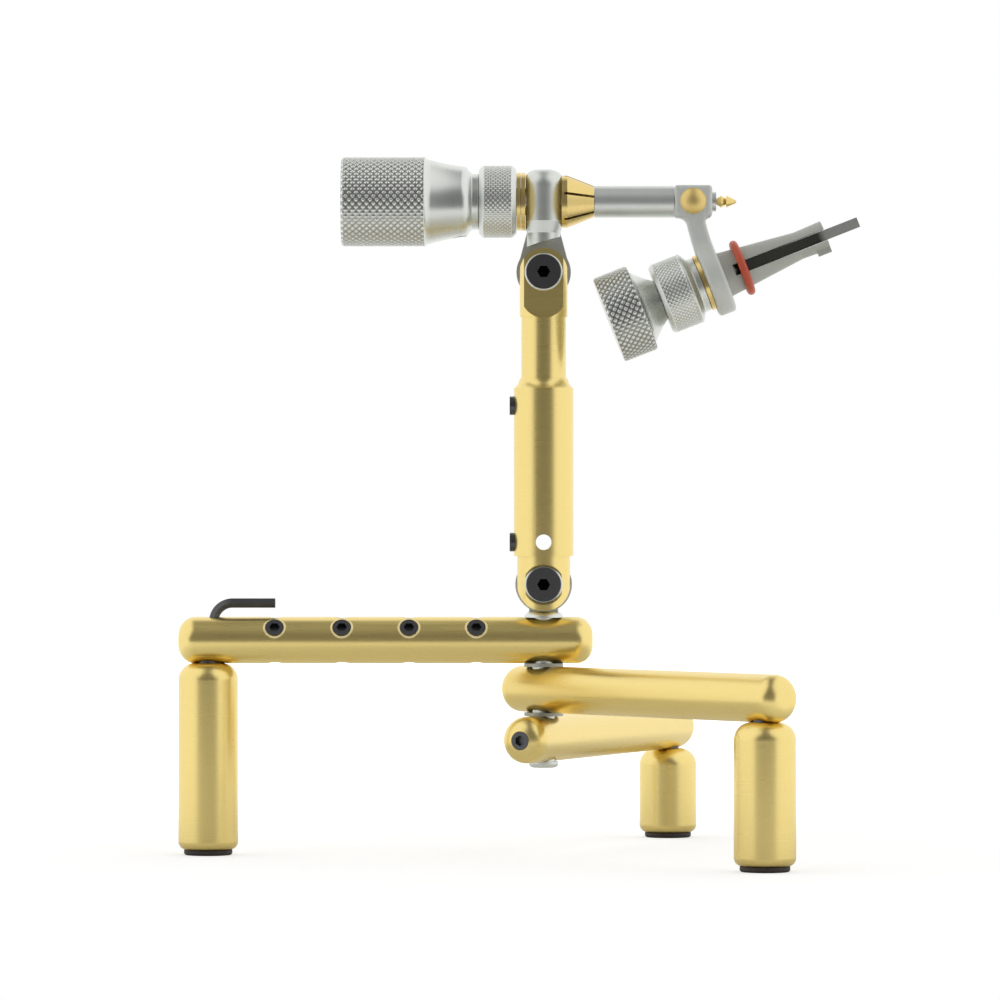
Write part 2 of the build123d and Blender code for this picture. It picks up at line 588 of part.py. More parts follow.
def spindle():
    """Shaft through the bracket, its sleeve, and the spigot that carries the swan-neck arm."""
    block_end = BLOCK_X + BLOCK_L
    shaft = rod_x(SPINDLE_D / 2, KNOB_X - KNOB_BORE + AXIAL, SLEEVE_X, z=SHAFT_Z)
    shaft += rod_x(SLEEVE_D / 2, SLEEVE_X, BLOCK_X, z=SHAFT_Z)
    shaft += rod_x(BLOCK_BORE_D / 2, BLOCK_X, block_end, z=SHAFT_Z)
    shaft += rod_x(TAIL_FLANGE_D / 2, block_end, POINTER_X, z=SHAFT_Z)
    return shaft - rod_x(POINTER_STEM_D / 2 + FIT, POINTER_X - POINTER_STEM, POINTER_X, z=SHAFT_Z)


def pointer():
    """Brass double cone on the end of the shaft, which marks the rotary axis."""
    half = POINTER_L / 2
    cones = turned(
        Polyline(
            (POINTER_WAIST_D / 2, 0), (POINTER_D / 2, half / 2), (POINTER_WAIST_D / 2, half),
            (POINTER_D / 2, half), (POINTER_WAIST_D / 4, POINTER_L),
        )
    )
    return along_x(cones + rod_z(POINTER_STEM_D / 2, -POINTER_STEM, 0), POINTER_X, SHAFT_Z)


def neck_corners(side):
    """Corners under the block of the swan-neck arm's side view, from rear to front."""
    low = SHAFT_Z - BLOCK_H / 2
    ends = (BLOCK_X + NEAR, BLOCK_X + BLOCK_L - NEAR)
    corners = [v for v in side.vertices() if abs(v.Y - low) < NEAR and ends[0] < v.X < ends[1]]
    return ShapeList(corners).sort_by(Axis.X)


def swan_arm():
    """Block on the shaft, a neck that bends down and a round eye square to the jaw."""
    turn = radians(JAW_ANGLE)
    width = 4 * EYE_R
    rise = (SHAFT_Z - JAW_Z) / cos(turn)
    middle = BLOCK_X + BLOCK_L / 2
    rear_curve = TangentArc((EYE_REAR, NECK_STRAIGHT), (EYE_REAR + NECK_SHIFT, rise), tangent=(0, 1))
    front_curve = TangentArc((EYE_FRONT, NECK_STRAIGHT), (EYE_FRONT + NECK_SHIFT, rise), tangent=(0, 1))
    eye_edge = Polyline(
        (EYE_REAR, NECK_STRAIGHT), (EYE_REAR, -EYE_R), (EYE_FRONT, -EYE_R), (EYE_FRONT, NECK_STRAIGHT)
    )
    top_edge = Line(rear_curve @ 1, front_curve @ 1)
    strip = make_face(rear_curve.edges() + top_edge.edges() + front_curve.edges() + eye_edge.edges())
    strip = Pos(JAW_X, JAW_Z) * Rot(0, 0, JAW_ANGLE) * strip
    side = Pos(middle, SHAFT_Z) * Rectangle(BLOCK_L, BLOCK_H) + strip
    side = fillet(neck_corners(side)[-1], NECK_FRONT_FILLET)
    side = fillet(neck_corners(side)[0], NECK_REAR_FILLET)
    arm = Pos(0, width / 2, 0) * extrude(Plane.XZ * side, width)
    front = Circle(EYE_R) + Pos(rise, 0) * Rectangle(2 * rise, BLOCK_W)
    joins = [v for v in front.vertices() if abs(abs(v.Y) - BLOCK_W / 2) < NEAR and v.X < rise]
    front = fillet(joins, EYE_BLEND_R)
    arm &= JAW * Pos(0, 0, -width) * extrude(front, 2 * width)
    arm -= JAW * rod_z(SHANK_D / 2 + RUN, EYE_REAR - EYE_T, EYE_FRONT + EYE_T)
    arm -= rod_x(BLOCK_BORE_D / 2 + FIT, BLOCK_X - EYE_T, BLOCK_X + BLOCK_L + EYE_T, z=SHAFT_Z)
    return arm - rod_y(BUTTON_STEM_D / 2 + FIT, -BLOCK_W, -BLOCK_W / 2 + BUTTON_STEM, x=middle, z=SHAFT_Z)


def arm_button():
    """Domed brass button on the front of the block."""
    ball_r = (BUTTON_D ** 2 / 4 + BUTTON_OUT ** 2) / 2 / BUTTON_OUT
    ball = Pos(0, 0, BUTTON_OUT - ball_r) * Sphere(ball_r)
    button = (ball & rod_z(BUTTON_D, 0, BUTTON_OUT)) + rod_z(BUTTON_STEM_D / 2, -BUTTON_STEM, 0)
    return Pos(BLOCK_X + BLOCK_L / 2, -BLOCK_W / 2, SHAFT_Z) * Rot(90, 0, 0) * button


# Jaw pieces, built along Z with X up and Y towards the tier, then laid on the jaw axis
def holder_radius(s):
    """Outer radius of the holder's cone at a place along the jaw axis."""
    share = (s - HOLDER_S) / HOLDER_CONE
    return HOLDER_D / 2 + (HOLDER_NOSE_D - HOLDER_D) / 2 * share


def jaw_holder():
    """Tapered holder split by a slot for the leaves, with a shank through the eye."""
    cone_end = HOLDER_S + HOLDER_CONE
    body = turned(
        Polyline(
            (SHANK_D / 2, SHANK_END), (SHANK_D / 2, HOLDER_S), (HOLDER_D / 2, HOLDER_S),
            (HOLDER_NOSE_D / 2, cone_end), (HOLDER_END_D / 2, HOLDER_END),
        )
    )
    lip_side = (-HOLDER_END_D / 4, HOLDER_END_D / 4)
    body += block((-HOLDER_END_D / 2 - LIP_H, 0), lip_side, (HOLDER_END - LIP_L, HOLDER_END))
    slot_along = (HOLDER_S + SLOT_FROM_EYE, HOLDER_END + LEAF_OUT)
    body -= block((-SLOT_H / 2, SLOT_H / 2), (-HOLDER_D, HOLDER_D), slot_along)
    body -= rod_z(ROD_D / 2 + RUN, SHANK_END, ROD_TIP_S + CLEAR)
    ring_r = (RING_OUTER_D - RING_CORD_D) / 2
    body -= Pos(0, 0, HOLDER_S + RING_FROM_EYE) * Torus(ring_r, RING_CORD_D / 2 + FIT)
    half = SLOT_H / 2 + FULCRUM_OVERHANG
    body -= Pos(0, 0, FULCRUM_S) * rod_x(FULCRUM_D / 2 + FIT, -half, half)
    return JAW * body


def fulcrum_pin():
    half = SLOT_H / 2 + FULCRUM_OVERHANG
    return JAW * Pos(0, 0, FULCRUM_S) * rod_x(FULCRUM_D / 2, -half, half)


def jaw_washer():
    return JAW * ring(JAW_WASHER_D, SHANK_D + 2 * RUN, JAW_WASHER_S, JAW_WASHER_S + JAW_WASHER_T)


def o_ring():
    middle_r = (RING_OUTER_D - RING_CORD_D) / 2
    return JAW * Pos(0, 0, HOLDER_S + RING_FROM_EYE) * Torus(middle_r, RING_CORD_D / 2)


def lock_ring():
    """Knurled ring with a smooth collar that clamps the holder in the eye."""
    grip_top = LOCK_S - LOCK_COLLAR
    rear = grip_top - LOCK_L
    body = turned(
        Polyline(
            (LOCK_D / 2 - LOCK_CHAMFER / 2, rear), (LOCK_D / 2, rear + LOCK_CHAMFER / 2),
            (LOCK_D / 2, grip_top - LOCK_CHAMFER),
            (LOCK_COLLAR_D / 2, grip_top), (LOCK_COLLAR_D / 2, LOCK_S),
        )
    )
    return JAW * (body - rod_z(SHANK_D / 2 + RUN, rear, LOCK_S))


def jaw_knob():
    """Captive knob at the rear that drives the push rod."""
    flare_end = JAW_KNOB_S - JAW_KNOB_FLARE
    rear = flare_end - JAW_KNOB_GRIP
    rim = JAW_KNOB_D / 2 - JAW_KNOB_EDGE_R
    body = turned(
        Polyline(
            (JAW_KNOB_D / 2, rear), (JAW_KNOB_D / 2, flare_end - JAW_KNOB_EDGE_R),
            (rim, flare_end), (JAW_KNOB_FLARE_D / 2, flare_end),
        ),
        SagittaArc((JAW_KNOB_FLARE_D / 2, flare_end), (JAW_KNOB_NECK_D / 2, JAW_KNOB_S), JAW_KNOB_FLARE_SAG),
    )
    body = fillet(body.edges().filter_by(GeomType.CIRCLE).sort_by(Axis.Z)[0], JAW_KNOB_EDGE_R)
    body -= rod_z(SHANK_D / 2 + RUN, SHANK_END - AXIAL, JAW_KNOB_S)
    return JAW * (body - rod_z(ROD_D / 2 + FIT, SHANK_END - ROD_HOLE_IN_KNOB, JAW_KNOB_S))


def push_rod():
    """Rod fixed in the knob, with the cone that spreads the rear ends of the leaves."""
    rear = SHANK_END - ROD_HOLE_IN_KNOB
    cone = ROD_CONE_S - ROD_TRAVEL
    tip = ROD_TIP_S - ROD_TRAVEL
    return JAW * turned(Polyline((ROD_D / 2, rear), (ROD_D / 2, cone), (ROD_CONE_TIP_D / 2, tip)))


def jaw_leaf(side):
    """One hardened leaf. side is 1 towards the tier and -1 away."""
    slope = tan(radians(ROD_CONE_ANGLE))
    rear_inner = (ROD_D / 2 + AXIAL) - (LEAF_REAR - ROD_CONE_S) * slope
    relief_s = LEAF_REAR + (rear_inner - LEAF_RELIEF) / slope
    outline = [
        (rear_inner, LEAF_REAR), (LEAF_REAR_W, LEAF_REAR), (holder_radius(FULCRUM_S) - CLEAR, FULCRUM_S),
        (LEAF_NOSE_W, HOLDER_END), (LEAF_TIP_W, LEAF_TIP), (LEAF_GAP, LEAF_TIP), (LEAF_GAP, FULCRUM_S),
        (LEAF_RELIEF, relief_s),
    ]
    plan = make_face(Polyline(*[(side * w, s) for w, s in outline], close=True))
    leaf = extrude(Plane.YZ * plan, LEAF_H / 2, both=True)
    return JAW * (leaf - Pos(0, 0, FULCRUM_S) * rod_x(FULCRUM_D / 2 + RUN, -LEAF_H, LEAF_H))


def base_nodes():
    nodes = {"upper_arm": upper_arm(), "lower_arm": lower_arm()}
    nodes["middle_arm"] = Rot(0, 0, MIDDLE_ANGLE) * base_arm(MIDDLE_ARM_Z)
    levels = {
        "upper": (UPPER_ARM_Z, UPPER_ANGLE),
        "middle": (MIDDLE_ARM_Z, MIDDLE_ANGLE),
        "lower": (LOWER_ARM_Z, LOWER_ANGLE),
    }
    for name, (z, angle) in levels.items():
        turn = Rot(0, 0, angle)
        nodes[name + "_leg"] = turn * base_leg(z)
        nodes[name + "_leg_stud"] = turn * leg_stud(z)
        nodes[name + "_foot"] = turn * rubber_foot()
    nodes["tool_screws"] = tool_screws()
    nodes["lower_arm_screw"] = lower_arm_screw()
    nodes["middle_washer"] = pivot_washer(MIDDLE_ARM_Z)
    nodes["lower_washer"] = pivot_washer(LOWER_ARM_Z)
    nodes["hex_key"] = hex_key()
    return nodes


def column_nodes():
    nodes = {"pivot_knuckle": pivot_knuckle(), "pivot_nut": pivot_nut(), "column_tube": column_tube()}
    nodes["lower_hinge_screw"], nodes["lower_hinge_ring"] = lap_screw(TANG_SEAT, LOWER_HINGE_Z, KNUCKLE_T)
    nodes["post_clamp_screw"] = side_screw(POST_SCREW_Z, POST_D / 2 + AXIAL)
    rod_screw_start = CROSS_BORE_D / 2 + DOG_L
    nodes["rod_clamp_screw"] = side_screw(CROSS_BORE_Z, rod_screw_start, DOG_L - SCREW_SET_BACK)
    nodes["sliding_post"] = sliding_post()
    return nodes


def head_nodes():
    nodes = {"head_bracket": head_bracket(), "collet": collet(), "brake_ring": brake_ring()}
    grip = UPPER_LAP + BRACKET_LOBE_T
    nodes["upper_hinge_screw"], nodes["upper_hinge_ring"] = lap_screw(POST_FLAT, UPPER_HINGE_Z, grip)
    nodes["friction_washer"] = brass_disc(FRICTION_X)
    nodes["brake_disc"] = brass_disc(DISC_X)
    nodes["spindle"] = spindle()
    nodes["rotary_knob"] = rotary_knob()
    nodes["knob_set_screw"] = knob_set_screw()
    nodes["swan_arm"] = swan_arm()
    nodes["arm_button"] = arm_button()
    nodes["axis_pointer"] = pointer()
    return nodes


def jaw_nodes():
    return {
        "jaw_holder": jaw_holder(),
        "jaw_washer": jaw_washer(),
        "jaw_o_ring": o_ring(),
        "fulcrum_pin": fulcrum_pin(),
        "lock_ring": lock_ring(),
        "jaw_knob": jaw_knob(),
        "push_rod": push_rod(),
        "near_jaw": jaw_leaf(1),
        "far_jaw": jaw_leaf(-1),
    }


def main():
    os.makedirs("parts", exist_ok=True)
    nodes = {**base_nodes(), **column_nodes(), **head_nodes(), **jaw_nodes()}
    for name, shape in nodes.items():
        shape.label = name
        export_step(shape, os.path.join("parts", name + ".step"))


if __name__ == "__main__":
    main()
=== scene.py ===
"""Finish, stage and camera of a rotary fly tying vise on a folding three-legged base."""

import math
from collections import namedtuple

import bmesh
import bpy
from bpy.props import FloatProperty, FloatVectorProperty, IntProperty, PointerProperty
from mathutils import Matrix, Vector


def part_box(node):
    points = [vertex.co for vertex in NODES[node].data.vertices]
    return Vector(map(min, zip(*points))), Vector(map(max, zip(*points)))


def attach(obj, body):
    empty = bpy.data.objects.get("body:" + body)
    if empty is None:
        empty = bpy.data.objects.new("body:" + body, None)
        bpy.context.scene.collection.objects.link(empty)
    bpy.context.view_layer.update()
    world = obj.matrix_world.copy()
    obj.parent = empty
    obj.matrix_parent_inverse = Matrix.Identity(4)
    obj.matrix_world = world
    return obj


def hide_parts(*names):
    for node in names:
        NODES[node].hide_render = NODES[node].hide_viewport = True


bl_info = {
    "name": "Fly Tying Vise",
    "version": (1, 0, 0),
    "blender": (4, 5, 0),
    "location": "View3D > Sidebar > Vise",
    "description": "Knurled pieces, metals, rubber, stage and camera of a rotary fly tying vise",
    "category": "Add Mesh",
}

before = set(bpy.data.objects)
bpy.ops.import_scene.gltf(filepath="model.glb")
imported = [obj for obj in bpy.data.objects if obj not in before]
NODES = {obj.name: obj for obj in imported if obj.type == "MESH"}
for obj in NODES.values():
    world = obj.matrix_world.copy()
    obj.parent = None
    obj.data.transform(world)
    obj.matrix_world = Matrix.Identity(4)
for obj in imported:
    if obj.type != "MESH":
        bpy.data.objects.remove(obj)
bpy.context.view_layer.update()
SLOTS = {name: node.data.materials[0].name for name, node in NODES.items()}
MM = 0.001

# Axes of the turned pieces, in mm: the height of the rotary shaft, and the jaw's axis, which rises
# to the right through the eye of the swan-neck arm
SHAFT_Z = (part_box("rotary_knob")[0].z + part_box("rotary_knob")[1].z) / 2 / MM
JAW_ANGLE = math.radians(21.5)
JAW_CENTRE = Vector((44.7, 0.0, 154.1))
# Lays the grain of a turned piece along the jaw's axis
JAW_TURN = (0, JAW_ANGLE, 0)

# Directions of the bars from the pivot, in degrees
BARS = {"upper_arm": 180.0, "middle_arm": -51.0, "lower_arm": 67.0}
# Bodies that the rubber feet and the hinge rings ride on
FEET = {"upper_foot": "base", "middle_foot": "middle", "lower_foot": "lower"}
HINGE_RINGS = {"lower_hinge_ring": "pivot", "upper_hinge_ring": "head"}

# Clamp screws in the upper bar: pitch and countersink in mm, and the angle by which they look up
SCREW_COUNT = 4
SCREW_PITCH = 18.0
SCREW_TILT = math.radians(35.0)
SINK_R = 3.05

# Grain of drawn and turned metal: its width in mm, and how many times longer than wide it is
GRAIN_MM = 0.25
GRAIN_STRETCH = 40.0

# Steps round a turned piece, steps of mesh to a diamond of a knurl, and the angles of a rounded rim
ROUND = 96
KNURL_STEPS = 8
QUARTER = [math.pi / 2 * i / 6 for i in range(7)]
# Points of a mesh closer than this, in m, are one point
SAME = 1e-7

# Count of grooves of each hand; pitch and depth in m
Knurl = namedtuple("Knurl", "count pitch depth")


def linear(code):
    """An sRGB hex colour as linear red, green, blue and full alpha."""
    parts = [int(code[i:i + 2], 16) / 255 for i in (1, 3, 5)]
    values = [c / 12.92 if c <= 0.04045 else ((c + 0.055) / 1.055) ** 2.4 for c in parts]
    return (*values, 1.0)


def colour_property(label, text, code):
    """A colour of the sidebar from its sRGB hex code."""
    return FloatVectorProperty(name=label, description=text, subtype="COLOR", size=4,
                               min=0.0, max=1.0, default=linear(code))


class ViseKnurls(bpy.types.PropertyGroup):
    """Sizes of the knurls that the fingers hold."""

    coarse_count: IntProperty(
        name="Coarse Count", description="Grooves of each hand round a knob", default=40, min=8)
    coarse_pitch: FloatProperty(
        name="Coarse Pitch", description="Length of a coarse diamond along the axis",
        default=1.86 * MM, min=0.2 * MM, unit="LENGTH", precision=5)
    coarse_depth: FloatProperty(
        name="Coarse Depth", description="Depth of a coarse groove",
        default=0.28 * MM, min=0.0, unit="LENGTH", precision=5)
    fine_count: IntProperty(
        name="Fine Count", description="Grooves of each hand round a ring", default=50, min=8)
    fine_pitch: FloatProperty(
        name="Fine Pitch", description="Length of a fine diamond along the axis",
        default=1.28 * MM, min=0.2 * MM, unit="LENGTH", precision=5)
    fine_depth: FloatProperty(
        name="Fine Depth", description="Depth of a fine groove",
        default=0.16 * MM, min=0.0, unit="LENGTH", precision=5)


class ViseColours(bpy.types.PropertyGroup):
    """Colours of the metals and rubbers."""

    brass: colour_property("Brass", "Bars, legs and column", "#edd68b")
    # Painted highlight on the countersink rims
    countersink_highlight: colour_property("Cut Brass", "Rims of the countersunk screw holes", "#fff2c4")
    small_brass: colour_property("Turned Brass", "Collet, washers and pointer", "#e4ca84")
    aluminium: colour_property("Turned Aluminium", "Knobs, rings and bracket", "#d6d9d4")
    # Painted highlight on the knurl points, and painted shade in the knurl grooves
    point: colour_property("Knurl Points", "Worn bright points of a knurl", "#eceee8")
    groove: colour_property("Knurl Grooves", "Aluminium in the shade of the grooves", "#5c5e5a")
    blasted: colour_property("Blasted Aluminium", "Swan-neck arm", "#d9dbd7")
    holder: colour_property("Jaw Holder", "Tapered holder of the jaw", "#c0c2bb")
    steel: colour_property("Steel", "Spindle sleeve and knuckle", "#dcdfdb")
    # Painted shade: the washers between the bars are darker than the steel
    shaded_washer: colour_property("Washer Steel", "Washers between the bars", "#a8a89f")
    black_steel: colour_property("Black Steel", "Screws, studs and key", "#5c5c5e")
    # Painted shade in the sockets of the hinge screws
    socket_shade: colour_property("Screw Sockets", "Shade in the hinge screws' sockets", "#080808")
    # Painted shade on the jaw leaves in their slot, and painted light on their tips
    shaded_jaw_steel: colour_property("Jaw Steel", "Leaves of the jaw in their slot", "#4a4a45")
    lit_jaw_tip: colour_property("Jaw Tip", "Ground tips of the leaves", "#b0b0ab")
    rubber: colour_property("Rubber", "Feet", "#352e2c")
    silicone: colour_property("Silicone", "Ring round the jaw", "#c65336")


class ViseStage(bpy.types.PropertyGroup):
    """Camera, table and light of the studio."""

    lens: FloatProperty(
        name="Lens", description="Focal length on a 36 mm sensor",
        default=207.87, min=10.0, unit="CAMERA")
    distance: FloatProperty(
        name="Distance", description="Camera in front of the pivot",
        default=1549.0 * MM, min=0.2, unit="LENGTH")
    height: FloatProperty(
        name="Height", description="Camera above the floor", default=95.2 * MM, unit="LENGTH")
    aside: FloatProperty(
        name="Aside", description="Camera to the right of the pivot",
        default=-0.94 * MM, unit="LENGTH", precision=5)
    yaw: FloatProperty(
        name="Yaw", description="Camera turned to the left",
        default=math.radians(0.398), unit="ROTATION", precision=5)
    table: colour_property("Table", "Matt card under the feet", "#e2e2e0")
    table_white: FloatProperty(
        name="Table White", description="Light level of the table away from the feet",
        default=1.65, min=0.0)
    table_front: FloatProperty(
        name="Table Front", description="White table reaches this far in front",
        default=380.0 * MM, min=0.15, unit="LENGTH")
    walls: FloatProperty(
        name="Walls", description="Light level of the walls beside and behind the vise",
        default=1.12, min=0.0)
    opening: FloatProperty(
        name="Opening", description="Light level of the dim room behind the camera",
        default=0.2, min=0.0, max=1.0, subtype="FACTOR")


# Nodes and meshes

def add_node(tree, kind, inputs=None, **settings):
    """One node with its settings; an input takes a value or the output that is linked to it."""
    node = tree.nodes.new(kind)
    for key, value in settings.items():
        setattr(node, key, value)
    for key, value in (inputs or {}).items():
        if isinstance(value, bpy.types.NodeSocket):
            tree.links.new(value, node.inputs[key])
        else:
            node.inputs[key].default_value = value
    return node


def linked(name, data):
    """A new object in the scene."""
    made = bpy.data.objects.new(name, data)
    bpy.context.scene.collection.objects.link(made)
    return made


def closed_mesh(bm, name):
    """The mesh of a bmesh, with equal points joined and its faces turned outwards."""
    bmesh.ops.remove_doubles(bm, verts=bm.verts, dist=SAME)
    bmesh.ops.recalc_face_normals(bm, faces=bm.faces)
    mesh = bpy.data.meshes.new(name)
    bm.to_mesh(mesh)
    bm.free()
    return mesh


def applied(carrier, modifier):
    """The plain mesh that a modifier makes of its object; the object and its old mesh go."""
    bpy.context.view_layer.update()
    graph = bpy.context.evaluated_depsgraph_get()
    made = bpy.data.meshes.new_from_object(carrier.evaluated_get(graph))
    old = carrier.data
    carrier.modifiers.remove(modifier)
    bpy.data.objects.remove(carrier)
    bpy.data.meshes.remove(old)
    return made


def soften(outline, radius, parts=4):
    """An outline with each inner corner rounded by about this radius."""
    points = [Vector(p) for p in outline]
    result = [points[0]]
    for before, corner, after in zip(points, points[1:], points[2:]):
        back = before - corner
        on = after - corner
        # Two roundings on one side leave a little of it straight
        reach = min(radius, back.length * 0.45, on.length * 0.45)
        start = corner + back.normalized() * reach
        end = corner + on.normalized() * reach
        for i in range(parts + 1):
            t = i / parts
            result.append(start * (1 - t) ** 2 + corner * 2 * t * (1 - t) + end * t ** 2)
    return result + [points[-1]]


def lathe(outline, steps):
    """A closed turned mesh about Z from (radius, height) in mm; a radius of 0 is on the axis."""
    bm = bmesh.new()
    rings = []
    for radius, height in outline:
        ring = []
        for i in range(steps):
            turn = 2 * math.pi * i / steps
            x, y = radius * MM * math.cos(turn), radius * MM * math.sin(turn)
            ring.append(bm.verts.new((x, y, height * MM)))
        rings.append(ring)
    for low, high in zip(rings, rings[1:]):
        for i in range(steps):
            j = (i + 1) % steps
            bm.faces.new((low[i], low[j], high[j], high[i]))
    return closed_mesh(bm, "turned")


def drilled(mesh, radius, place, length):
    """The mesh with a round hole from a place outwards along its Z, in mm."""
    tool = lathe([(0, 0), (radius, 0), (radius, length), (0, length)], steps=32)
    tool.transform(place)
    block = linked("block", mesh)
    cutter = linked("cutter", tool)
    hole = block.modifiers.new("hole", "BOOLEAN")
    hole.operation = "DIFFERENCE"
    hole.object = cutter
    made = applied(block, hole)
    bpy.data.objects.remove(cutter)
    bpy.data.meshes.remove(tool)
    return made


def rounded_copy(node, width):
    """The mesh of a CAD node with its sharp edges rounded by about this many mm."""
    flat, corner = math.radians(0.5), math.radians(40)
    bm = bmesh.new()
    bm.from_mesh(NODES[node].data)
    bm.transform(NODES[node].matrix_world)
    bmesh.ops.remove_doubles(bm, verts=bm.verts, dist=10 * SAME)
    bmesh.ops.dissolve_limit(bm, angle_limit=flat, verts=bm.verts, edges=bm.edges)
    sharp = [edge for edge in bm.edges
             if edge.is_manifold and edge.is_convex and edge.calc_face_angle() > corner]
    bmesh.ops.bevel(bm, geom=sharp, offset=width * MM, segments=3, profile=0.5, affect="EDGES",
                    clamp_overlap=False)
    return closed_mesh(bm, "rounded")


def shaft_place(x):
    """Local Z to the shaft's axis, local origin at x mm along it."""
    turn = Matrix.Rotation(math.pi / 2, 4, "Y")
    return Matrix.Translation(Vector((x, 0, SHAFT_Z)) * MM) @ turn


def jaw_place(s):
    """Local Z to the jaw's axis, local origin at s mm along it."""
    along = Vector((math.cos(JAW_ANGLE), 0, math.sin(JAW_ANGLE)))
    turn = along.to_track_quat("Z", "Y").to_matrix().to_4x4()
    return Matrix.Translation((JAW_CENTRE + along * s) * MM) @ turn


def front_place(node):
    """Local Z to the front of the vise, local origin in the middle of a node's rear face."""
    low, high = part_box(node)
    rear = Vector(((low.x + high.x) / 2, high.y, (low.z + high.z) / 2))
    return Matrix.Translation(rear) @ Matrix.Rotation(math.pi / 2, 4, "X")


def foot_place(node):
    """Local Z up, local origin on the floor under a node."""
    low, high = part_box(node)
    return Matrix.Translation(((low.x + high.x) / 2, (low.y + high.y) / 2, low.z))


def stand_in(name, node, body, mesh, place, angle=50.0, material=None):
    """A finished piece that takes the place of a CAD node, which it hides.

    Its place is in its mesh. Edges that turn by more than the angle stay sharp.
    """
    mesh.name = name
    mesh.shade_smooth()
    mesh.set_sharp_from_angle(angle=math.radians(angle))
    mesh.transform(place)
    if material is not None:
        mesh.materials.clear()
        mesh.materials.append(material)
    piece = linked(name, mesh)
    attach(piece, body)
    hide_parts(node)


# Knurls

def knurl_tree():
    """Geometry nodes that press a diamond knurl into the grip of a piece turned about Z."""
    tree = bpy.data.node_groups.get("diamond_knurl")
    if tree is not None:
        return tree
    tree = bpy.data.node_groups.new("diamond_knurl", "GeometryNodeTree")
    sockets = tree.interface
    sockets.new_socket("Geometry", in_out="INPUT", socket_type="NodeSocketGeometry")
    for name in ("Count", "Pitch", "Depth", "Start", "End", "Radius"):
        sockets.new_socket(name, in_out="INPUT", socket_type="NodeSocketFloat")
    sockets.new_socket("Metal", in_out="INPUT", socket_type="NodeSocketMaterial")
    sockets.new_socket("Geometry", in_out="OUTPUT", socket_type="NodeSocketGeometry")
    given = add_node(tree, "NodeGroupInput").outputs
    calc, vector = "ShaderNodeMath", "ShaderNodeVectorMath"

    # Grooves of both hands: turns about the axis, counted in grooves, with and against the height
    position = add_node(tree, "GeometryNodeInputPosition").outputs[0]
    place = add_node(tree, "ShaderNodeSeparateXYZ", {0: position}).outputs
    x, y, z = place["X"], place["Y"], place["Z"]
    angle = add_node(tree, calc, {0: y, 1: x}, operation="ARCTAN2").outputs[0]
    turns = add_node(tree, calc, {0: angle, 1: 2 * math.pi}, operation="DIVIDE").outputs[0]
    around = add_node(tree, calc, {0: turns, 1: given["Count"]}, operation="MULTIPLY").outputs[0]
    along = add_node(tree, calc, {0: z, 1: given["Pitch"]}, operation="DIVIDE").outputs[0]
    right = add_node(tree, calc, {0: around, 1: along}, operation="ADD").outputs[0]
    left = add_node(tree, calc, {0: around, 1: along}, operation="SUBTRACT").outputs[0]
    half = 0.5
    right = add_node(tree, calc, {0: right, 1: half}, operation="PINGPONG").outputs[0]
    left = add_node(tree, calc, {0: left, 1: half}, operation="PINGPONG").outputs[0]

    # A diamond rises to a small flat, as a worn knurl does
    slope = 2.2
    rise = add_node(tree, calc, {0: right, 1: left}, operation="MINIMUM").outputs[0]
    rise = add_node(tree, calc, {0: rise, 1: slope}, operation="MULTIPLY",
                    use_clamp=True).outputs[0]
    groove = add_node(tree, calc, {0: 1.0, 1: rise}, operation="SUBTRACT").outputs[0]

    # Only the skin of the grip is pressed, not its end faces or its bore
    skin_share = 0.97
    above = add_node(tree, calc, {0: z, 1: given["Start"]}, operation="GREATER_THAN").outputs[0]
    below = add_node(tree, calc, {0: z, 1: given["End"]}, operation="LESS_THAN").outputs[0]
    flat = add_node(tree, "ShaderNodeCombineXYZ", {"X": x, "Y": y}).outputs[0]
    reach = add_node(tree, vector, {0: flat}, operation="LENGTH").outputs["Value"]
    skin = add_node(tree, calc, {0: given["Radius"], 1: skin_share},
                    operation="MULTIPLY").outputs[0]
    outer = add_node(tree, calc, {0: reach, 1: skin}, operation="GREATER_THAN").outputs[0]
    grip = add_node(tree, calc, {0: above, 1: below}, operation="MULTIPLY").outputs[0]
    grip = add_node(tree, calc, {0: grip, 1: outer}, operation="MULTIPLY").outputs[0]
    groove = add_node(tree, calc, {0: groove, 1: grip}, operation="MULTIPLY").outputs[0]

    # Pressed towards the axis, with the pattern kept for the material
    depth = add_node(tree, calc, {0: groove, 1: given["Depth"]}, operation="MULTIPLY").outputs[0]
    depth = add_node(tree, calc, {0: depth, 1: -1.0}, operation="MULTIPLY").outputs[0]
    outward = add_node(tree, vector, {0: flat}, operation="NORMALIZE").outputs[0]
    shift = add_node(tree, vector, {0: outward, "Scale": depth}, operation="SCALE").outputs[0]
    shape = given["Geometry"]
    for name, value in (("grip", grip), ("groove", groove)):
        shape = add_node(tree, "GeometryNodeStoreNamedAttribute",
                         {"Geometry": shape, "Name": name, "Value": value}).outputs[0]
    shape = add_node(tree, "GeometryNodeSetPosition",
                     {"Geometry": shape, "Offset": shift}).outputs[0]
    shape = add_node(tree, "GeometryNodeRealizeInstances", {"Geometry": shape}).outputs[0]
    shape = add_node(tree, "GeometryNodeSetMaterial",
                     {"Geometry": shape, "Material": given["Metal"]}).outputs[0]
    add_node(tree, "NodeGroupOutput", {"Geometry": shape})
    return tree


def with_nodes(mesh, tree, values):
    """The mesh that a node tree makes of this one, as a plain mesh."""
    carrier = linked("carrier", mesh)
    modifier = carrier.modifiers.new("nodes", "NODES")
    modifier.node_group = tree
    for item in tree.interface.items_tree:
        if item.in_out == "INPUT" and item.name in values:
            modifier[item.identifier] = values[item.name]
    return applied(carrier, modifier)


def grip_rows(radius, low, high, knurl):
    """Rows of an outline close enough together to carry the knurl, in mm."""
    rows = max(2, round(abs(high - low) / (knurl.pitch / MM) * KNURL_STEPS))
    return [(radius, low + (high - low) * i / rows) for i in range(rows + 1)]


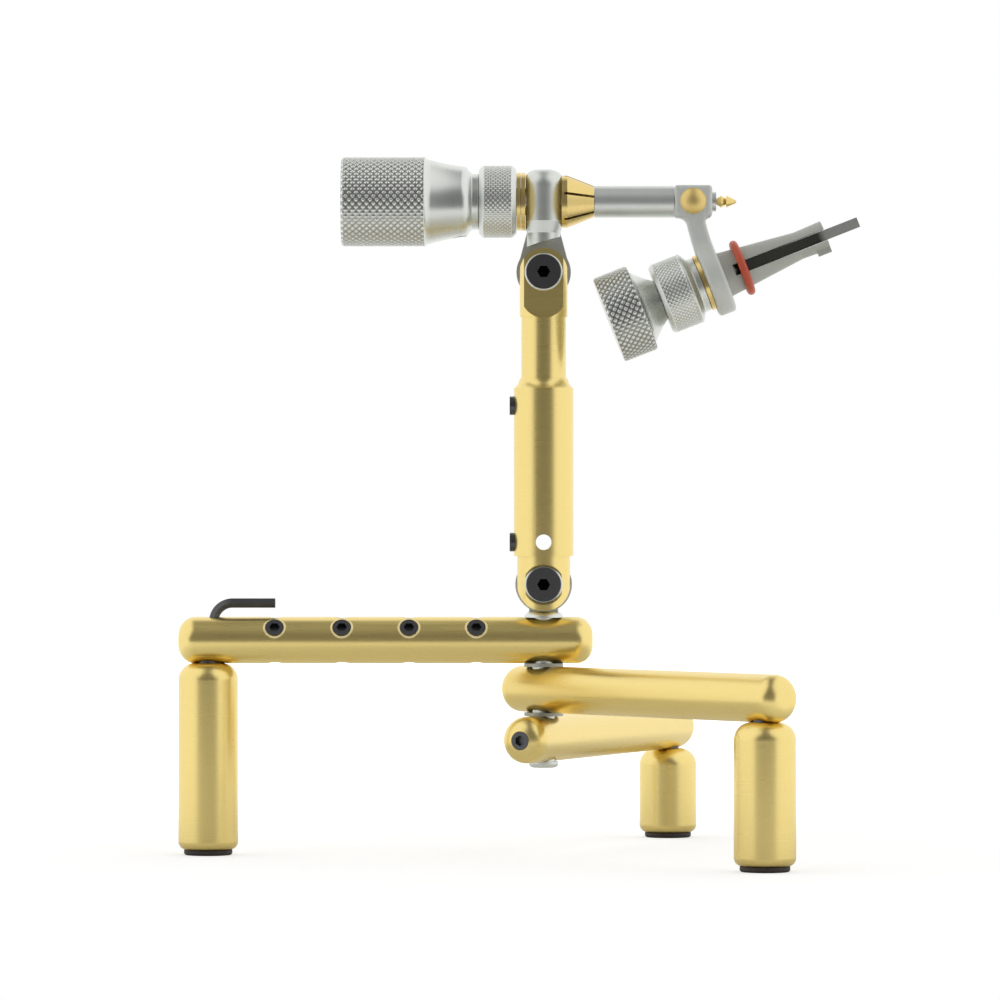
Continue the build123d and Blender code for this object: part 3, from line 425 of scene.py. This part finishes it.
def knurled_mesh(outline, grip, knurl, metal):
    """A turned mesh with a knurl on its grip, which is (radius, low, high) in mm."""
    radius, low, high = grip
    edge = 0.05 * MM
    values = {"Count": float(knurl.count), "Pitch": knurl.pitch, "Depth": knurl.depth,
              "Radius": radius * MM, "Start": low * MM + edge, "End": high * MM - edge,
              "Metal": metal}
    return with_nodes(lathe(outline, knurl.count * KNURL_STEPS), knurl_tree(), values)


def hollow_cone(start, end, sag, parts):
    """Points of an outline from start to end, hollowed by this much halfway."""
    (r0, z0), (r1, z1) = start, end
    shares = [i / parts for i in range(parts + 1)]
    return [(r0 + (r1 - r0) * t - sag * math.sin(math.pi * t), z0 + (z1 - z0) * t) for t in shares]


def rear_rim(radius, rear, edge):
    """Points of a rounded rim, from the last row of a grip to the flat behind it."""
    return [(radius - edge * (1 - math.cos(a)), rear + edge * (1 - math.sin(a)))
            for a in QUARTER[1:]]


# Materials

def new_material(name):
    """A material with its shader, its node tree and object coordinates."""
    material = bpy.data.materials.new(name)
    material.use_nodes = True
    tree = material.node_tree
    shader = tree.nodes["Principled BSDF"]
    place = add_node(tree, "ShaderNodeTexCoord").outputs["Object"]
    return material, tree, shader, place


def grained_metal(name, colour, roughness, spread, grain_mm, stretch=(1, 1, 1), turn=(0, 0, 0),
                  bump=0.004):
    """A metal with a grain this wide in mm; stretch lengthens it and turn lays its axes."""
    material, tree, shader, place = new_material(name)
    shader.inputs["Base Color"].default_value = colour
    shader.inputs["Metallic"].default_value = 1.0
    scale = tuple(1 / (grain_mm * MM * s) for s in stretch)
    laid = add_node(tree, "ShaderNodeMapping", {"Vector": place, "Rotation": turn}).outputs[0]
    sized = add_node(tree, "ShaderNodeMapping", {"Vector": laid, "Scale": scale}).outputs[0]
    grain = add_node(tree, "ShaderNodeTexNoise",
                     {"Vector": sized, "Scale": 1.0, "Detail": 3.0}).outputs["Fac"]
    # Noise seldom leaves 0.3 to 0.7
    rough = add_node(tree, "ShaderNodeMapRange",
                     {"Value": grain, "From Min": 0.3, "From Max": 0.7,
                      "To Min": roughness - spread, "To Max": roughness + spread}).outputs[0]
    tree.links.new(rough, shader.inputs["Roughness"])
    lift = add_node(tree, "ShaderNodeBump",
                    {"Height": grain, "Strength": bump, "Distance": grain_mm * MM}).outputs[0]
    tree.links.new(lift, shader.inputs["Normal"])
    return material


def drawn_brass(bar, colours):
    """Satin drawn brass bar: fine lines along the bar, soft streaked highlights."""
    return grained_metal("drawn_brass_" + bar, colours.brass, roughness=0.3, spread=0.03,
                         grain_mm=GRAIN_MM, stretch=(GRAIN_STRETCH, 1, 1),
                         turn=(0, 0, -math.radians(BARS[bar])))


def turned_metal(name, colour, roughness, axis, turn=(0, 0, 0)):
    """Metal finished in a lathe: fine rings about the axis it was turned on."""
    stretch = {"X": (1, GRAIN_STRETCH, GRAIN_STRETCH), "Z": (GRAIN_STRETCH, GRAIN_STRETCH, 1)}[axis]
    return grained_metal(name, colour, roughness, spread=0.03, grain_mm=GRAIN_MM, stretch=stretch,
                         turn=turn)


def blasted_metal(name, colour):
    """Bead-blasted and clear anodised metal: an even matt grain that spreads every highlight."""
    return grained_metal(name, colour, roughness=0.72, spread=0.05, grain_mm=0.22, bump=0.12)


def countersunk(material, colours):
    """Countersinks round the clamp screws of the upper bar, with a painted highlight: a rough,
    bright rim.
    """
    tree = material.node_tree
    shader = tree.nodes["Principled BSDF"]
    calc, vector = "ShaderNodeMath", "ShaderNodeVectorMath"
    low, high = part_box("upper_arm")
    pitch = SCREW_PITCH * MM
    across = (0, math.sin(SCREW_TILT), math.cos(SCREW_TILT))

    # Distance from the axis of the nearest screw
    place = add_node(tree, "ShaderNodeTexCoord").outputs["Object"]
    from_bar = add_node(tree, vector, {0: place, 1: (0, 0, (low.z + high.z) / 2)},
                        operation="SUBTRACT").outputs[0]
    part = add_node(tree, "ShaderNodeSeparateXYZ", {0: from_bar}).outputs
    beside = add_node(tree, calc, {0: part["X"], 1: pitch / 2}, operation="PINGPONG").outputs[0]
    above = add_node(tree, vector, {0: from_bar, 1: across},
                     operation="DOT_PRODUCT").outputs["Value"]
    flat = add_node(tree, "ShaderNodeCombineXYZ", {"X": beside, "Y": above}).outputs[0]
    reach = add_node(tree, vector, {0: flat}, operation="LENGTH").outputs["Value"]
    blur = 0.1
    sunk = add_node(tree, "ShaderNodeMapRange",
                    {"Value": reach, "From Min": (SINK_R - blur) * MM,
                     "From Max": (SINK_R + blur) * MM, "To Min": 1.0, "To Max": 0.0}).outputs[0]

    # Only on the front of the bar. The first screw is one pitch from the pivot
    begin, end = -0.6 * pitch, -(SCREW_COUNT + 0.4) * pitch
    front = add_node(tree, calc, {0: part["Y"], 1: 0.0}, operation="LESS_THAN").outputs[0]
    first = add_node(tree, calc, {0: part["X"], 1: begin}, operation="LESS_THAN").outputs[0]
    last = add_node(tree, calc, {0: part["X"], 1: end}, operation="GREATER_THAN").outputs[0]
    for mask in (front, first, last):
        sunk = add_node(tree, calc, {0: sunk, 1: mask}, operation="MULTIPLY").outputs[0]

    # Painted highlight: the rims take a near-white brass and a rougher finish
    added_roughness = 0.5
    colour = add_node(tree, "ShaderNodeMix", {0: sunk, 6: colours.brass, 7: colours.countersink_highlight},
                      data_type="RGBA").outputs[2]
    tree.links.new(colour, shader.inputs["Base Color"])
    rough = shader.inputs["Roughness"].links[0].from_socket
    rough = add_node(tree, calc, {0: sunk, 1: added_roughness, 2: rough},
                     operation="MULTIPLY_ADD").outputs[0]
    tree.links.new(rough, shader.inputs["Roughness"])


def knurled_metal(name, colours, roughness, shade, turn=(0, 0, 0)):
    """Turned aluminium with a pressed knurl: painted highlight on the points, painted shade in the
    grooves.
    """
    material = turned_metal(name, colours.aluminium, roughness, "X", turn)
    tree = material.node_tree
    calc, mix = "ShaderNodeMath", "ShaderNodeMix"
    # Painted shade, deepest at the bottom of a groove
    falloff = 1.6
    grip = add_node(tree, "ShaderNodeAttribute", attribute_name="grip").outputs["Fac"]
    groove = add_node(tree, "ShaderNodeAttribute", attribute_name="groove").outputs["Fac"]
    deep = add_node(tree, calc, {0: groove, 1: falloff}, operation="POWER").outputs[0]
    dark = add_node(tree, calc, {0: deep, 1: shade}, operation="MULTIPLY").outputs[0]
    painted_light = add_node(tree, mix, {0: grip, 6: colours.aluminium, 7: colours.point},
                    data_type="RGBA").outputs[2]
    colour = add_node(tree, mix, {0: dark, 6: painted_light, 7: colours.groove}, data_type="RGBA").outputs[2]
    tree.links.new(colour, tree.nodes["Principled BSDF"].inputs["Base Color"])
    return material


def shaded_jaw_steel(name, colours):
    """Hardened steel, painted dark as shade where it lies in the slot and painted lighter towards
    the tip.
    """
    material = grained_metal(name, colours.shaded_jaw_steel, roughness=0.5, spread=0.06, grain_mm=0.2,
                             bump=0.05)
    tree = material.node_tree
    # Along the jaw, in mm: where the painted light of the tip starts, and how far it takes to be
    # full
    lit_from, blend = 31.0, 2.0
    along = jaw_place(0).to_3x3() @ Vector((0, 0, 1))
    start = along.dot(jaw_place(lit_from).translation)
    place = add_node(tree, "ShaderNodeTexCoord").outputs["Object"]
    reach = add_node(tree, "ShaderNodeVectorMath", {0: place, 1: tuple(along)},
                     operation="DOT_PRODUCT").outputs["Value"]
    painted_light = add_node(tree, "ShaderNodeMapRange",
                    {"Value": reach, "From Min": start, "From Max": start + blend * MM}).outputs[0]
    colour = add_node(tree, "ShaderNodeMix", {0: painted_light, 6: colours.shaded_jaw_steel, 7: colours.lit_jaw_tip},
                      data_type="RGBA").outputs[2]
    tree.links.new(colour, tree.nodes["Principled BSDF"].inputs["Base Color"])
    return material


def socket_steel(name, colours, face):
    """Black oxide on a socket screw: a satin face, and painted shade in the socket below it."""
    material = grained_metal(name, colours.black_steel, roughness=0.42, spread=0.06, grain_mm=0.3,
                             bump=0.05)
    tree = material.node_tree
    # Below the face, in mm: where the painted shade starts, where it is full, and where the socket
    # ends
    lip, full, bottom = 0.3, 1.0, 4.0
    place = add_node(tree, "ShaderNodeTexCoord").outputs["Object"]
    depth = add_node(tree, "ShaderNodeSeparateXYZ", {0: place}).outputs["Y"]
    below = add_node(tree, "ShaderNodeMapRange",
                     {"Value": depth, "From Min": face + lip * MM,
                      "From Max": face + full * MM}).outputs[0]
    ahead = add_node(tree, "ShaderNodeMath", {0: depth, 1: face + bottom * MM},
                     operation="LESS_THAN").outputs[0]
    inside = add_node(tree, "ShaderNodeMath", {0: below, 1: ahead}, operation="MULTIPLY").outputs[0]
    colour = add_node(tree, "ShaderNodeMix", {0: inside, 6: colours.black_steel, 7: colours.socket_shade},
                      data_type="RGBA").outputs[2]
    tree.links.new(colour, tree.nodes["Principled BSDF"].inputs["Base Color"])
    return material


def rubber(name, colour, roughness, grain_mm):
    """Moulded rubber: dull, with a faint mould grain."""
    material, tree, shader, place = new_material(name)
    spread = 0.1
    shader.inputs["IOR"].default_value = 1.5
    shader.inputs["Base Color"].default_value = colour
    scale = (1 / (grain_mm * MM),) * 3
    sized = add_node(tree, "ShaderNodeMapping", {"Vector": place, "Scale": scale}).outputs[0]
    grain = add_node(tree, "ShaderNodeTexNoise",
                     {"Vector": sized, "Scale": 1.0, "Detail": 2.0}).outputs["Fac"]
    rough = add_node(tree, "ShaderNodeMapRange",
                     {"Value": grain, "To Min": roughness - spread,
                      "To Max": roughness + spread}).outputs[0]
    tree.links.new(rough, shader.inputs["Roughness"])
    lift = add_node(tree, "ShaderNodeBump",
                    {"Height": grain, "Strength": 0.15, "Distance": grain_mm * MM}).outputs[0]
    tree.links.new(lift, shader.inputs["Normal"])
    return material


def paint(material, *nodes):
    """Give CAD nodes a finish."""
    for name in nodes:
        slots = NODES[name].data.materials
        slots.clear()
        slots.append(material)


def of_slot(slot):
    """Names of the CAD nodes with this slot."""
    return [name for name in NODES if SLOTS[name] == slot]


# Pieces

def rotary_knob(knurl, metal):
    """Stepped neck, hollow cone, long grip with a rounded rim, and the set screw's hole below."""
    bore_r, neck_r, cone_r, cone_end_r, grip_r = 2.53, 7.5, 9.35, 11.47, 12.0
    step, cone, cone_end, grip_start, bore_end, rear = -1.8, -3.4, -13.9, -14.4, -29.0, -36.8
    edge, margin = 0.9, 0.2
    outline = [(0, bore_end), (bore_r, bore_end)]
    neck = [(bore_r, 0), (neck_r, 0), (neck_r, step), (cone_r, cone)]
    outline += soften(neck, radius=0.25)[:-1]
    outline += hollow_cone((cone_r, cone), (cone_end_r, cone_end), sag=0.25, parts=8)
    outline += grip_rows(grip_r, grip_start, rear + edge, knurl)
    outline += rear_rim(grip_r, rear, edge) + [(0, rear)]
    mesh = knurled_mesh(outline, (grip_r, rear + margin, grip_start), knurl, metal)
    screw_r, screw_along, screw_from, screw_length = 2.03, -5.0, 2.6, 12.0
    hole = Matrix.Translation((screw_from * MM, 0, screw_along * MM))
    hole = hole @ Matrix.Rotation(math.pi / 2, 4, "Y")
    mesh = drilled(mesh, screw_r, hole, screw_length)
    place = shaft_place(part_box("rotary_knob")[1].x / MM)
    stand_in("rotary_knob_knurled", "rotary_knob", "rotor", mesh, place)


def brake_ring(knurl, metal):
    """Bored through, with wide rounded rims."""
    bore_r, rim_r, grip_r, length, edge = 3.65, 8.6, 9.7, 10.0, 1.2
    flat, rounding = 0.4, 0.5
    grip = (grip_r, edge, length - edge)
    front = [(rim_r - flat, 0), (rim_r, 0), (grip_r, edge)]
    rear = [(grip_r, length - edge), (rim_r, length), (rim_r - flat, length)]
    outline = [(bore_r, 0)] + soften(front, rounding)[1:-1]
    outline += grip_rows(*grip, knurl)
    outline += soften(rear, rounding)[1:-1] + [(bore_r, length), (bore_r, 0)]
    mesh = knurled_mesh(outline, grip, knurl, metal)
    place = shaft_place(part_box("brake_ring")[0].x / MM)
    stand_in("brake_ring_knurled", "brake_ring", "brake", mesh, place)


def lock_ring(knurl, metal):
    """Smooth collar, rounded shoulder and a fine grip."""
    bore_r, collar_r, grip_r, rear_r = 4.05, 7.4, 9.75, 9.1
    front, collar_end, shoulder, grip_start, grip_end, rear = -2.4, -4.2, -5.6, -6.2, -13.3, -14.3
    front_flat, rear_flat, rounding = 0.4, 0.5, 0.5
    collar = [(collar_r - front_flat, front), (collar_r, front), (collar_r, collar_end),
              (grip_r, shoulder), (grip_r, grip_start)]
    rim = [(grip_r, grip_end), (rear_r, rear), (rear_r - rear_flat, rear)]
    outline = [(bore_r, front)] + soften(collar, rounding)[1:-1]
    outline += grip_rows(grip_r, grip_start, grip_end, knurl)
    outline += soften(rim, rounding)[1:-1] + [(bore_r, rear), (bore_r, front)]
    mesh = knurled_mesh(outline, (grip_r, grip_end, grip_start), knurl, metal)
    stand_in("lock_ring_knurled", "lock_ring", "lock", mesh, jaw_place(0))


def jaw_knob(knurl, metal):
    """Hollow neck that flares to a coarse grip with rounded rims."""
    rod_r, bore_r, neck_r, flare_r, grip_r = 2.03, 4.05, 5.5, 10.2, 12.0
    neck, bore_end, flare_end, rod_end, rear = -14.4, -18.5, -19.7, -26.4, -29.3
    edge, margin = 0.7, 0.1
    outline = [(0, rod_end), (rod_r, rod_end), (rod_r, bore_end)]
    outline += [(bore_r, bore_end), (bore_r, neck)]
    outline += hollow_cone((neck_r, neck), (flare_r, flare_end), sag=0.3, parts=6)
    outline += [(grip_r - edge * (1 - math.sin(a)), flare_end - edge * (1 - math.cos(a)))
                for a in QUARTER[:-1]]
    outline += grip_rows(grip_r, flare_end - edge, rear + edge, knurl)
    outline += rear_rim(grip_r, rear, edge) + [(0, rear)]
    mesh = knurled_mesh(outline, (grip_r, rear + margin, flare_end - margin), knurl, metal)
    stand_in("jaw_knob_knurled", "jaw_knob", "drive", mesh, jaw_place(0))


def hinge_ring(node, body, metal):
    """Ring under a hinge screw: its rounded rim catches the light round the black head."""
    bore_r, ring_r, height, edge = 2.53, 5.1, 0.7, 0.5
    rim = [(ring_r - edge * (1 - math.cos(a)), height - edge * (1 - math.sin(a))) for a in QUARTER]
    outline = [(bore_r, 0), (ring_r, 0)] + rim + [(bore_r, height), (bore_r, 0)]
    mesh = lathe(outline, ROUND)
    stand_in(node + "_rounded", node, body, mesh, front_place(node), material=metal)


def foot_pad(node, body, material):
    """Pad with a soft lower edge, and the plug that holds it in the leg."""
    pad_r, pad_height, edge, plug_r, top = 6.5, 1.4, 0.4, 4.0, 6.4
    outline = [(0, 0), (pad_r - edge, 0), (pad_r, edge), (pad_r, pad_height),
               (plug_r, pad_height), (plug_r, top), (0, top)]
    mesh = lathe(soften(outline, radius=0.15), ROUND)
    stand_in(node + "_rubber", node, body, mesh, foot_place(node), angle=40.0, material=material)


def jaw_o_ring(material):
    """Round cord in the groove of the jaw's holder."""
    ring_r, cord_r, along, steps = 6.65, 1.1, 9.2, 40
    turns = [2 * math.pi * i / steps for i in range(steps + 1)]
    cord = [(ring_r + cord_r * math.cos(a), along + cord_r * math.sin(a)) for a in turns]
    mesh = lathe(cord, steps=128)
    stand_in("jaw_o_ring_red", "jaw_o_ring", "jaw", mesh, jaw_place(0), angle=60.0,
             material=material)


# Stage

def make_floor(stage):
    """White table that keeps the soft shadow under the feet."""
    side, back, front = 2.5, 3.0, stage.table_front
    mesh = bpy.data.meshes.new("white_table")
    corners = [(-side, -front, 0), (side, -front, 0), (side, back, 0), (-side, back, 0)]
    mesh.from_pydata(corners, [], [(0, 1, 2, 3)])
    floor = linked("white_table", mesh)
    # Matt white card: no mirror image of the vise, only its soft shade
    material = bpy.data.materials.new("matt_white_card")
    material.use_nodes = True
    tree = material.node_tree
    tree.nodes.clear()
    calc = "ShaderNodeMath"
    matt = add_node(tree, "ShaderNodeBsdfDiffuse", {"Color": stage.table}).outputs[0]
    white = add_node(tree, "ShaderNodeEmission",
                     {"Color": (1, 1, 1, 1), "Strength": stage.table_white}).outputs[0]
    # White to the camera and in reflections, save for a share of real shade near the feet
    place = add_node(tree, "ShaderNodeTexCoord").outputs["Object"]
    away = add_node(tree, "ShaderNodeVectorMath", {0: place}, operation="LENGTH").outputs["Value"]
    path = add_node(tree, "ShaderNodeLightPath").outputs
    clear = add_node(tree, "ShaderNodeMapRange",
                     {"Value": away, "From Min": 0.12, "From Max": 0.32,
                      "To Min": 0.35, "To Max": 1.0}, interpolation_type="SMOOTHSTEP").outputs[0]
    seen = add_node(tree, calc, {0: path["Is Camera Ray"], 1: clear},
                    operation="MULTIPLY").outputs[0]
    far = add_node(tree, "ShaderNodeMapRange",
                   {"Value": away, "From Min": 0.1, "From Max": 0.25,
                    "To Min": 0.0, "To Max": 0.45}).outputs[0]
    mirrored = add_node(tree, calc, {0: path["Is Glossy Ray"], 1: far},
                        operation="MULTIPLY").outputs[0]
    share = add_node(tree, calc, {0: seen, 1: mirrored}, operation="MAXIMUM").outputs[0]
    mixed = add_node(tree, "ShaderNodeMixShader", {0: share, 1: matt, 2: white}).outputs[0]
    add_node(tree, "ShaderNodeOutputMaterial", {"Surface": mixed})
    mesh.materials.append(material)


def make_world(scene, stage):
    """Bright walls left, right and behind; the front, which the camera looks in by, is dim."""
    world = bpy.data.worlds.new("light_tent")
    scene.world = world
    world.use_nodes = True
    tree = world.node_tree
    tree.nodes.clear()
    calc, spread = "ShaderNodeMath", "ShaderNodeMapRange"
    look = add_node(tree, "ShaderNodeTexCoord").outputs["Generated"]
    part = add_node(tree, "ShaderNodeSeparateXYZ", {0: look}).outputs
    aside = add_node(tree, calc, {0: part["X"]}, operation="ABSOLUTE").outputs[0]
    # The dim front narrows upwards to a strip between the two overhead panels
    edge = add_node(tree, spread, {"Value": part["Z"], "From Min": 0.2, "From Max": 0.8,
                                   "To Min": 0.63, "To Max": 0.2}).outputs[0]
    past = add_node(tree, calc, {0: aside, 1: edge}, operation="SUBTRACT").outputs[0]
    walls = add_node(tree, spread, {"Value": past, "From Min": -0.1, "From Max": 0.1},
                     interpolation_type="SMOOTHSTEP").outputs[0]
    # The rear wall fades in between these angles behind the vise
    fade_from, fade_to = math.sin(math.radians(10)), math.sin(math.radians(40))
    back = add_node(tree, spread, {"Value": part["Y"], "From Min": fade_from, "From Max": fade_to},
                    interpolation_type="SMOOTHSTEP").outputs[0]
    lit = add_node(tree, calc, {0: walls, 1: back}, operation="MAXIMUM").outputs[0]
    light = add_node(tree, spread, {"Value": lit, "To Min": stage.opening,
                                    "To Max": stage.walls}).outputs[0]
    tent = add_node(tree, "ShaderNodeBackground",
                    {"Color": (1, 1, 1, 1), "Strength": light}).outputs[0]
    white = add_node(tree, "ShaderNodeBackground",
                     {"Color": (1, 1, 1, 1), "Strength": 1.0}).outputs[0]
    seen = add_node(tree, "ShaderNodeLightPath").outputs["Is Camera Ray"]
    mixed = add_node(tree, "ShaderNodeMixShader", {0: seen, 1: tent, 2: white}).outputs[0]
    add_node(tree, "ShaderNodeOutputWorld", {"Surface": mixed})


def make_camera(scene, stage):
    """Long lens, level, as far off and as high as the photograph was taken from."""
    data = bpy.data.cameras.new("camera")
    data.sensor_width = 36.0
    data.lens = stage.lens
    data.clip_end = 50.0
    camera = linked("camera", data)
    camera.location = (stage.aside, -stage.distance, stage.height)
    camera.rotation_euler = (math.radians(90.0), 0.0, stage.yaw)
    scene.camera = camera


# Operators

class VISE_OT_brass_frame(bpy.types.Operator):
    """Satin brass of the bars, legs, column and post"""

    bl_idname = "vise.brass_frame"
    bl_label = "Brass Frame"

    def execute(self, context):
        colours = context.scene.vise_colours
        for bar in BARS:
            paint(drawn_brass(bar, colours), bar)
        countersunk(NODES["upper_arm"].data.materials[0], colours)
        turned = turned_metal("turned_satin_brass", colours.brass, roughness=0.3, axis="Z")
        paint(turned, "upper_leg", "middle_leg", "lower_leg", "column_tube", "sliding_post")
        return {"FINISHED"}


class VISE_OT_small_brass(bpy.types.Operator):
    """Bright turned brass of the washers, collet, pointer and button"""

    bl_idname = "vise.small_brass"
    bl_label = "Small Brass"

    def execute(self, context):
        brass = context.scene.vise_colours.small_brass
        # Turned without a satin finish: the small rings keep bright, narrow lines of light
        bright = turned_metal("turned_bright_brass", brass, roughness=0.28, axis="X")
        paint(bright, "friction_washer", "brake_disc", "collet", "axis_pointer")
        slanted = turned_metal("turned_bright_brass_jaw", brass, roughness=0.28, axis="X",
                               turn=JAW_TURN)
        paint(slanted, "jaw_washer")
        # The button on the arm is tumbled, so its dome holds no clear reflection
        tumbled = grained_metal("tumbled_brass", brass, roughness=0.48, spread=0.05, grain_mm=0.2,
                                bump=0.05)
        paint(tumbled, "arm_button")
        return {"FINISHED"}


class VISE_OT_steel(bpy.types.Operator):
    """Satin steel with the hinge rings, black screws, and painted shade on the jaw steel, studs and
    washers
    """

    bl_idname = "vise.steel"
    bl_label = "Steel"

    def execute(self, context):
        colours = context.scene.vise_colours
        # Turned satin steel: greyer than the aluminium, with soft rings of light
        satin = turned_metal("turned_satin_steel", colours.steel, roughness=0.42, axis="X")
        paint(satin, *of_slot("satin_steel"))
        # Black oxide: thin dark skin, dull with a soft oily sheen
        black = grained_metal("black_oxide_steel", colours.black_steel, roughness=0.38, spread=0.06,
                              grain_mm=0.3, bump=0.05)
        paint(black, *of_slot("black_oxide_steel"))
        paint(shaded_jaw_steel("hardened_jaw_steel", colours), *of_slot("hardened_jaw_steel"))
        # Painted shade: the studs take the black steel, so that the thin gap over each leg stays
        # dark
        paint(black, "upper_leg_stud", "middle_leg_stud", "lower_leg_stud")
        # Washers between the bars: rougher than the turned steel and painted darker as shade, so
        # that they keep quiet
        shaded_washers = grained_metal("shaded_washer_steel", colours.shaded_washer, roughness=0.5, spread=0.06,
                               grain_mm=0.2, bump=0.05)
        paint(shaded_washers, "middle_washer", "lower_washer")
        for node in ("lower_hinge_screw", "upper_hinge_screw"):
            paint(socket_steel("black_oxide_" + node, colours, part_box(node)[0].y), node)
        for node, body in HINGE_RINGS.items():
            hinge_ring(node, body, satin)
        return {"FINISHED"}


class VISE_OT_aluminium(bpy.types.Operator):
    """Blasted aluminium of the swan arm and jaw holder, turned aluminium of the bracket"""

    bl_idname = "vise.aluminium"
    bl_label = "Blasted Aluminium"

    def execute(self, context):
        colours = context.scene.vise_colours
        blasted = blasted_metal("bead_blasted_aluminium", colours.blasted)
        paint(blasted, *of_slot("blasted_aluminium"))
        paint(blasted_metal("bead_blasted_jaw_holder", colours.holder), "jaw_holder")
        arm = rounded_copy("swan_arm", width=0.9)
        stand_in("swan_arm_rounded", "swan_arm", "rotor", arm, Matrix(), angle=40.0,
                 material=blasted)
        # Turned satin aluminium: upright streaks of light on the bracket
        satin = turned_metal("turned_satin_aluminium", colours.aluminium, roughness=0.4, axis="Z")
        paint(satin, "head_bracket")
        return {"FINISHED"}


class VISE_OT_knobs(bpy.types.Operator):
    """Knurled knobs and rings"""

    bl_idname = "vise.knobs"
    bl_label = "Knurled Knobs"

    def execute(self, context):
        sizes = context.scene.vise_knurls
        colours = context.scene.vise_colours
        coarse = Knurl(sizes.coarse_count, sizes.coarse_pitch, sizes.coarse_depth)
        fine = Knurl(sizes.fine_count, sizes.fine_pitch, sizes.fine_depth)
        rotary_knob(coarse, knurled_metal("coarse_knurled_aluminium", colours,
                                          roughness=0.3, shade=0.75))
        brake_ring(fine, knurled_metal("fine_knurled_aluminium", colours,
                                       roughness=0.34, shade=0.5))
        lock_ring(fine, knurled_metal("fine_knurled_aluminium_jaw", colours,
                                      roughness=0.38, shade=0.5, turn=JAW_TURN))
        jaw_knob(coarse, knurled_metal("coarse_knurled_aluminium_jaw", colours,
                                       roughness=0.34, shade=0.95, turn=JAW_TURN))
        return {"FINISHED"}


class VISE_OT_rubber(bpy.types.Operator):
    """Rubber feet and the red ring round the jaw"""

    bl_idname = "vise.rubber"
    bl_label = "Rubber"

    def execute(self, context):
        colours = context.scene.vise_colours
        # Moulded black rubber: dull and slightly grainy, so that the feet stay dark in the light
        black = rubber("moulded_black_rubber", colours.rubber, roughness=0.6, grain_mm=0.3)
        # Moulded red silicone: smooth, so that the cord takes a soft line of light
        red = rubber("moulded_red_silicone", colours.silicone, roughness=0.42, grain_mm=0.5)
        for node, body in FEET.items():
            foot_pad(node, body, black)
        jaw_o_ring(red)
        return {"FINISHED"}


class VISE_OT_stage(bpy.types.Operator):
    """White table, soft light and camera"""

    bl_idname = "vise.stage"
    bl_label = "Stage"

    def execute(self, context):
        scene = context.scene
        scene.view_settings.view_transform = "Standard"
        make_floor(scene.vise_stage)
        make_world(scene, scene.vise_stage)
        make_camera(scene, scene.vise_stage)
        return {"FINISHED"}


class VISE_PT_panel(bpy.types.Panel):
    """Sizes, colours and steps of the vise"""

    bl_idname = "VISE_PT_panel"
    bl_label = "Fly Tying Vise"
    bl_space_type = "VIEW_3D"
    bl_region_type = "UI"
    bl_category = "Vise"

    def draw(self, context):
        scene = context.scene
        for group in (scene.vise_knurls, scene.vise_colours, scene.vise_stage):
            box = self.layout.box()
            for name in group.__annotations__:
                box.prop(group, name)
        for step in STEPS:
            self.layout.operator(step.bl_idname)


STEPS = (VISE_OT_brass_frame, VISE_OT_small_brass, VISE_OT_steel, VISE_OT_aluminium, VISE_OT_knobs,
         VISE_OT_rubber, VISE_OT_stage)
GROUPS = {"vise_knurls": ViseKnurls, "vise_colours": ViseColours, "vise_stage": ViseStage}


def register():
    """Add the properties, operators and panel."""
    for name, group in GROUPS.items():
        bpy.utils.register_class(group)
        setattr(bpy.types.Scene, name, PointerProperty(type=group))
    for step in STEPS:
        bpy.utils.register_class(step)
    bpy.utils.register_class(VISE_PT_panel)


def unregister():
    """Take the panel, operators and properties out again."""
    bpy.utils.unregister_class(VISE_PT_panel)
    for step in reversed(STEPS):
        bpy.utils.unregister_class(step)
    for name, group in GROUPS.items():
        delattr(bpy.types.Scene, name)
        bpy.utils.unregister_class(group)


def main():
    """Run every step."""
    register()
    bpy.ops.vise.brass_frame()
    bpy.ops.vise.small_brass()
    bpy.ops.vise.steel()
    bpy.ops.vise.aluminium()
    bpy.ops.vise.knobs()
    bpy.ops.vise.rubber()
    bpy.ops.vise.stage()


if __name__ == "__main__":
    main()
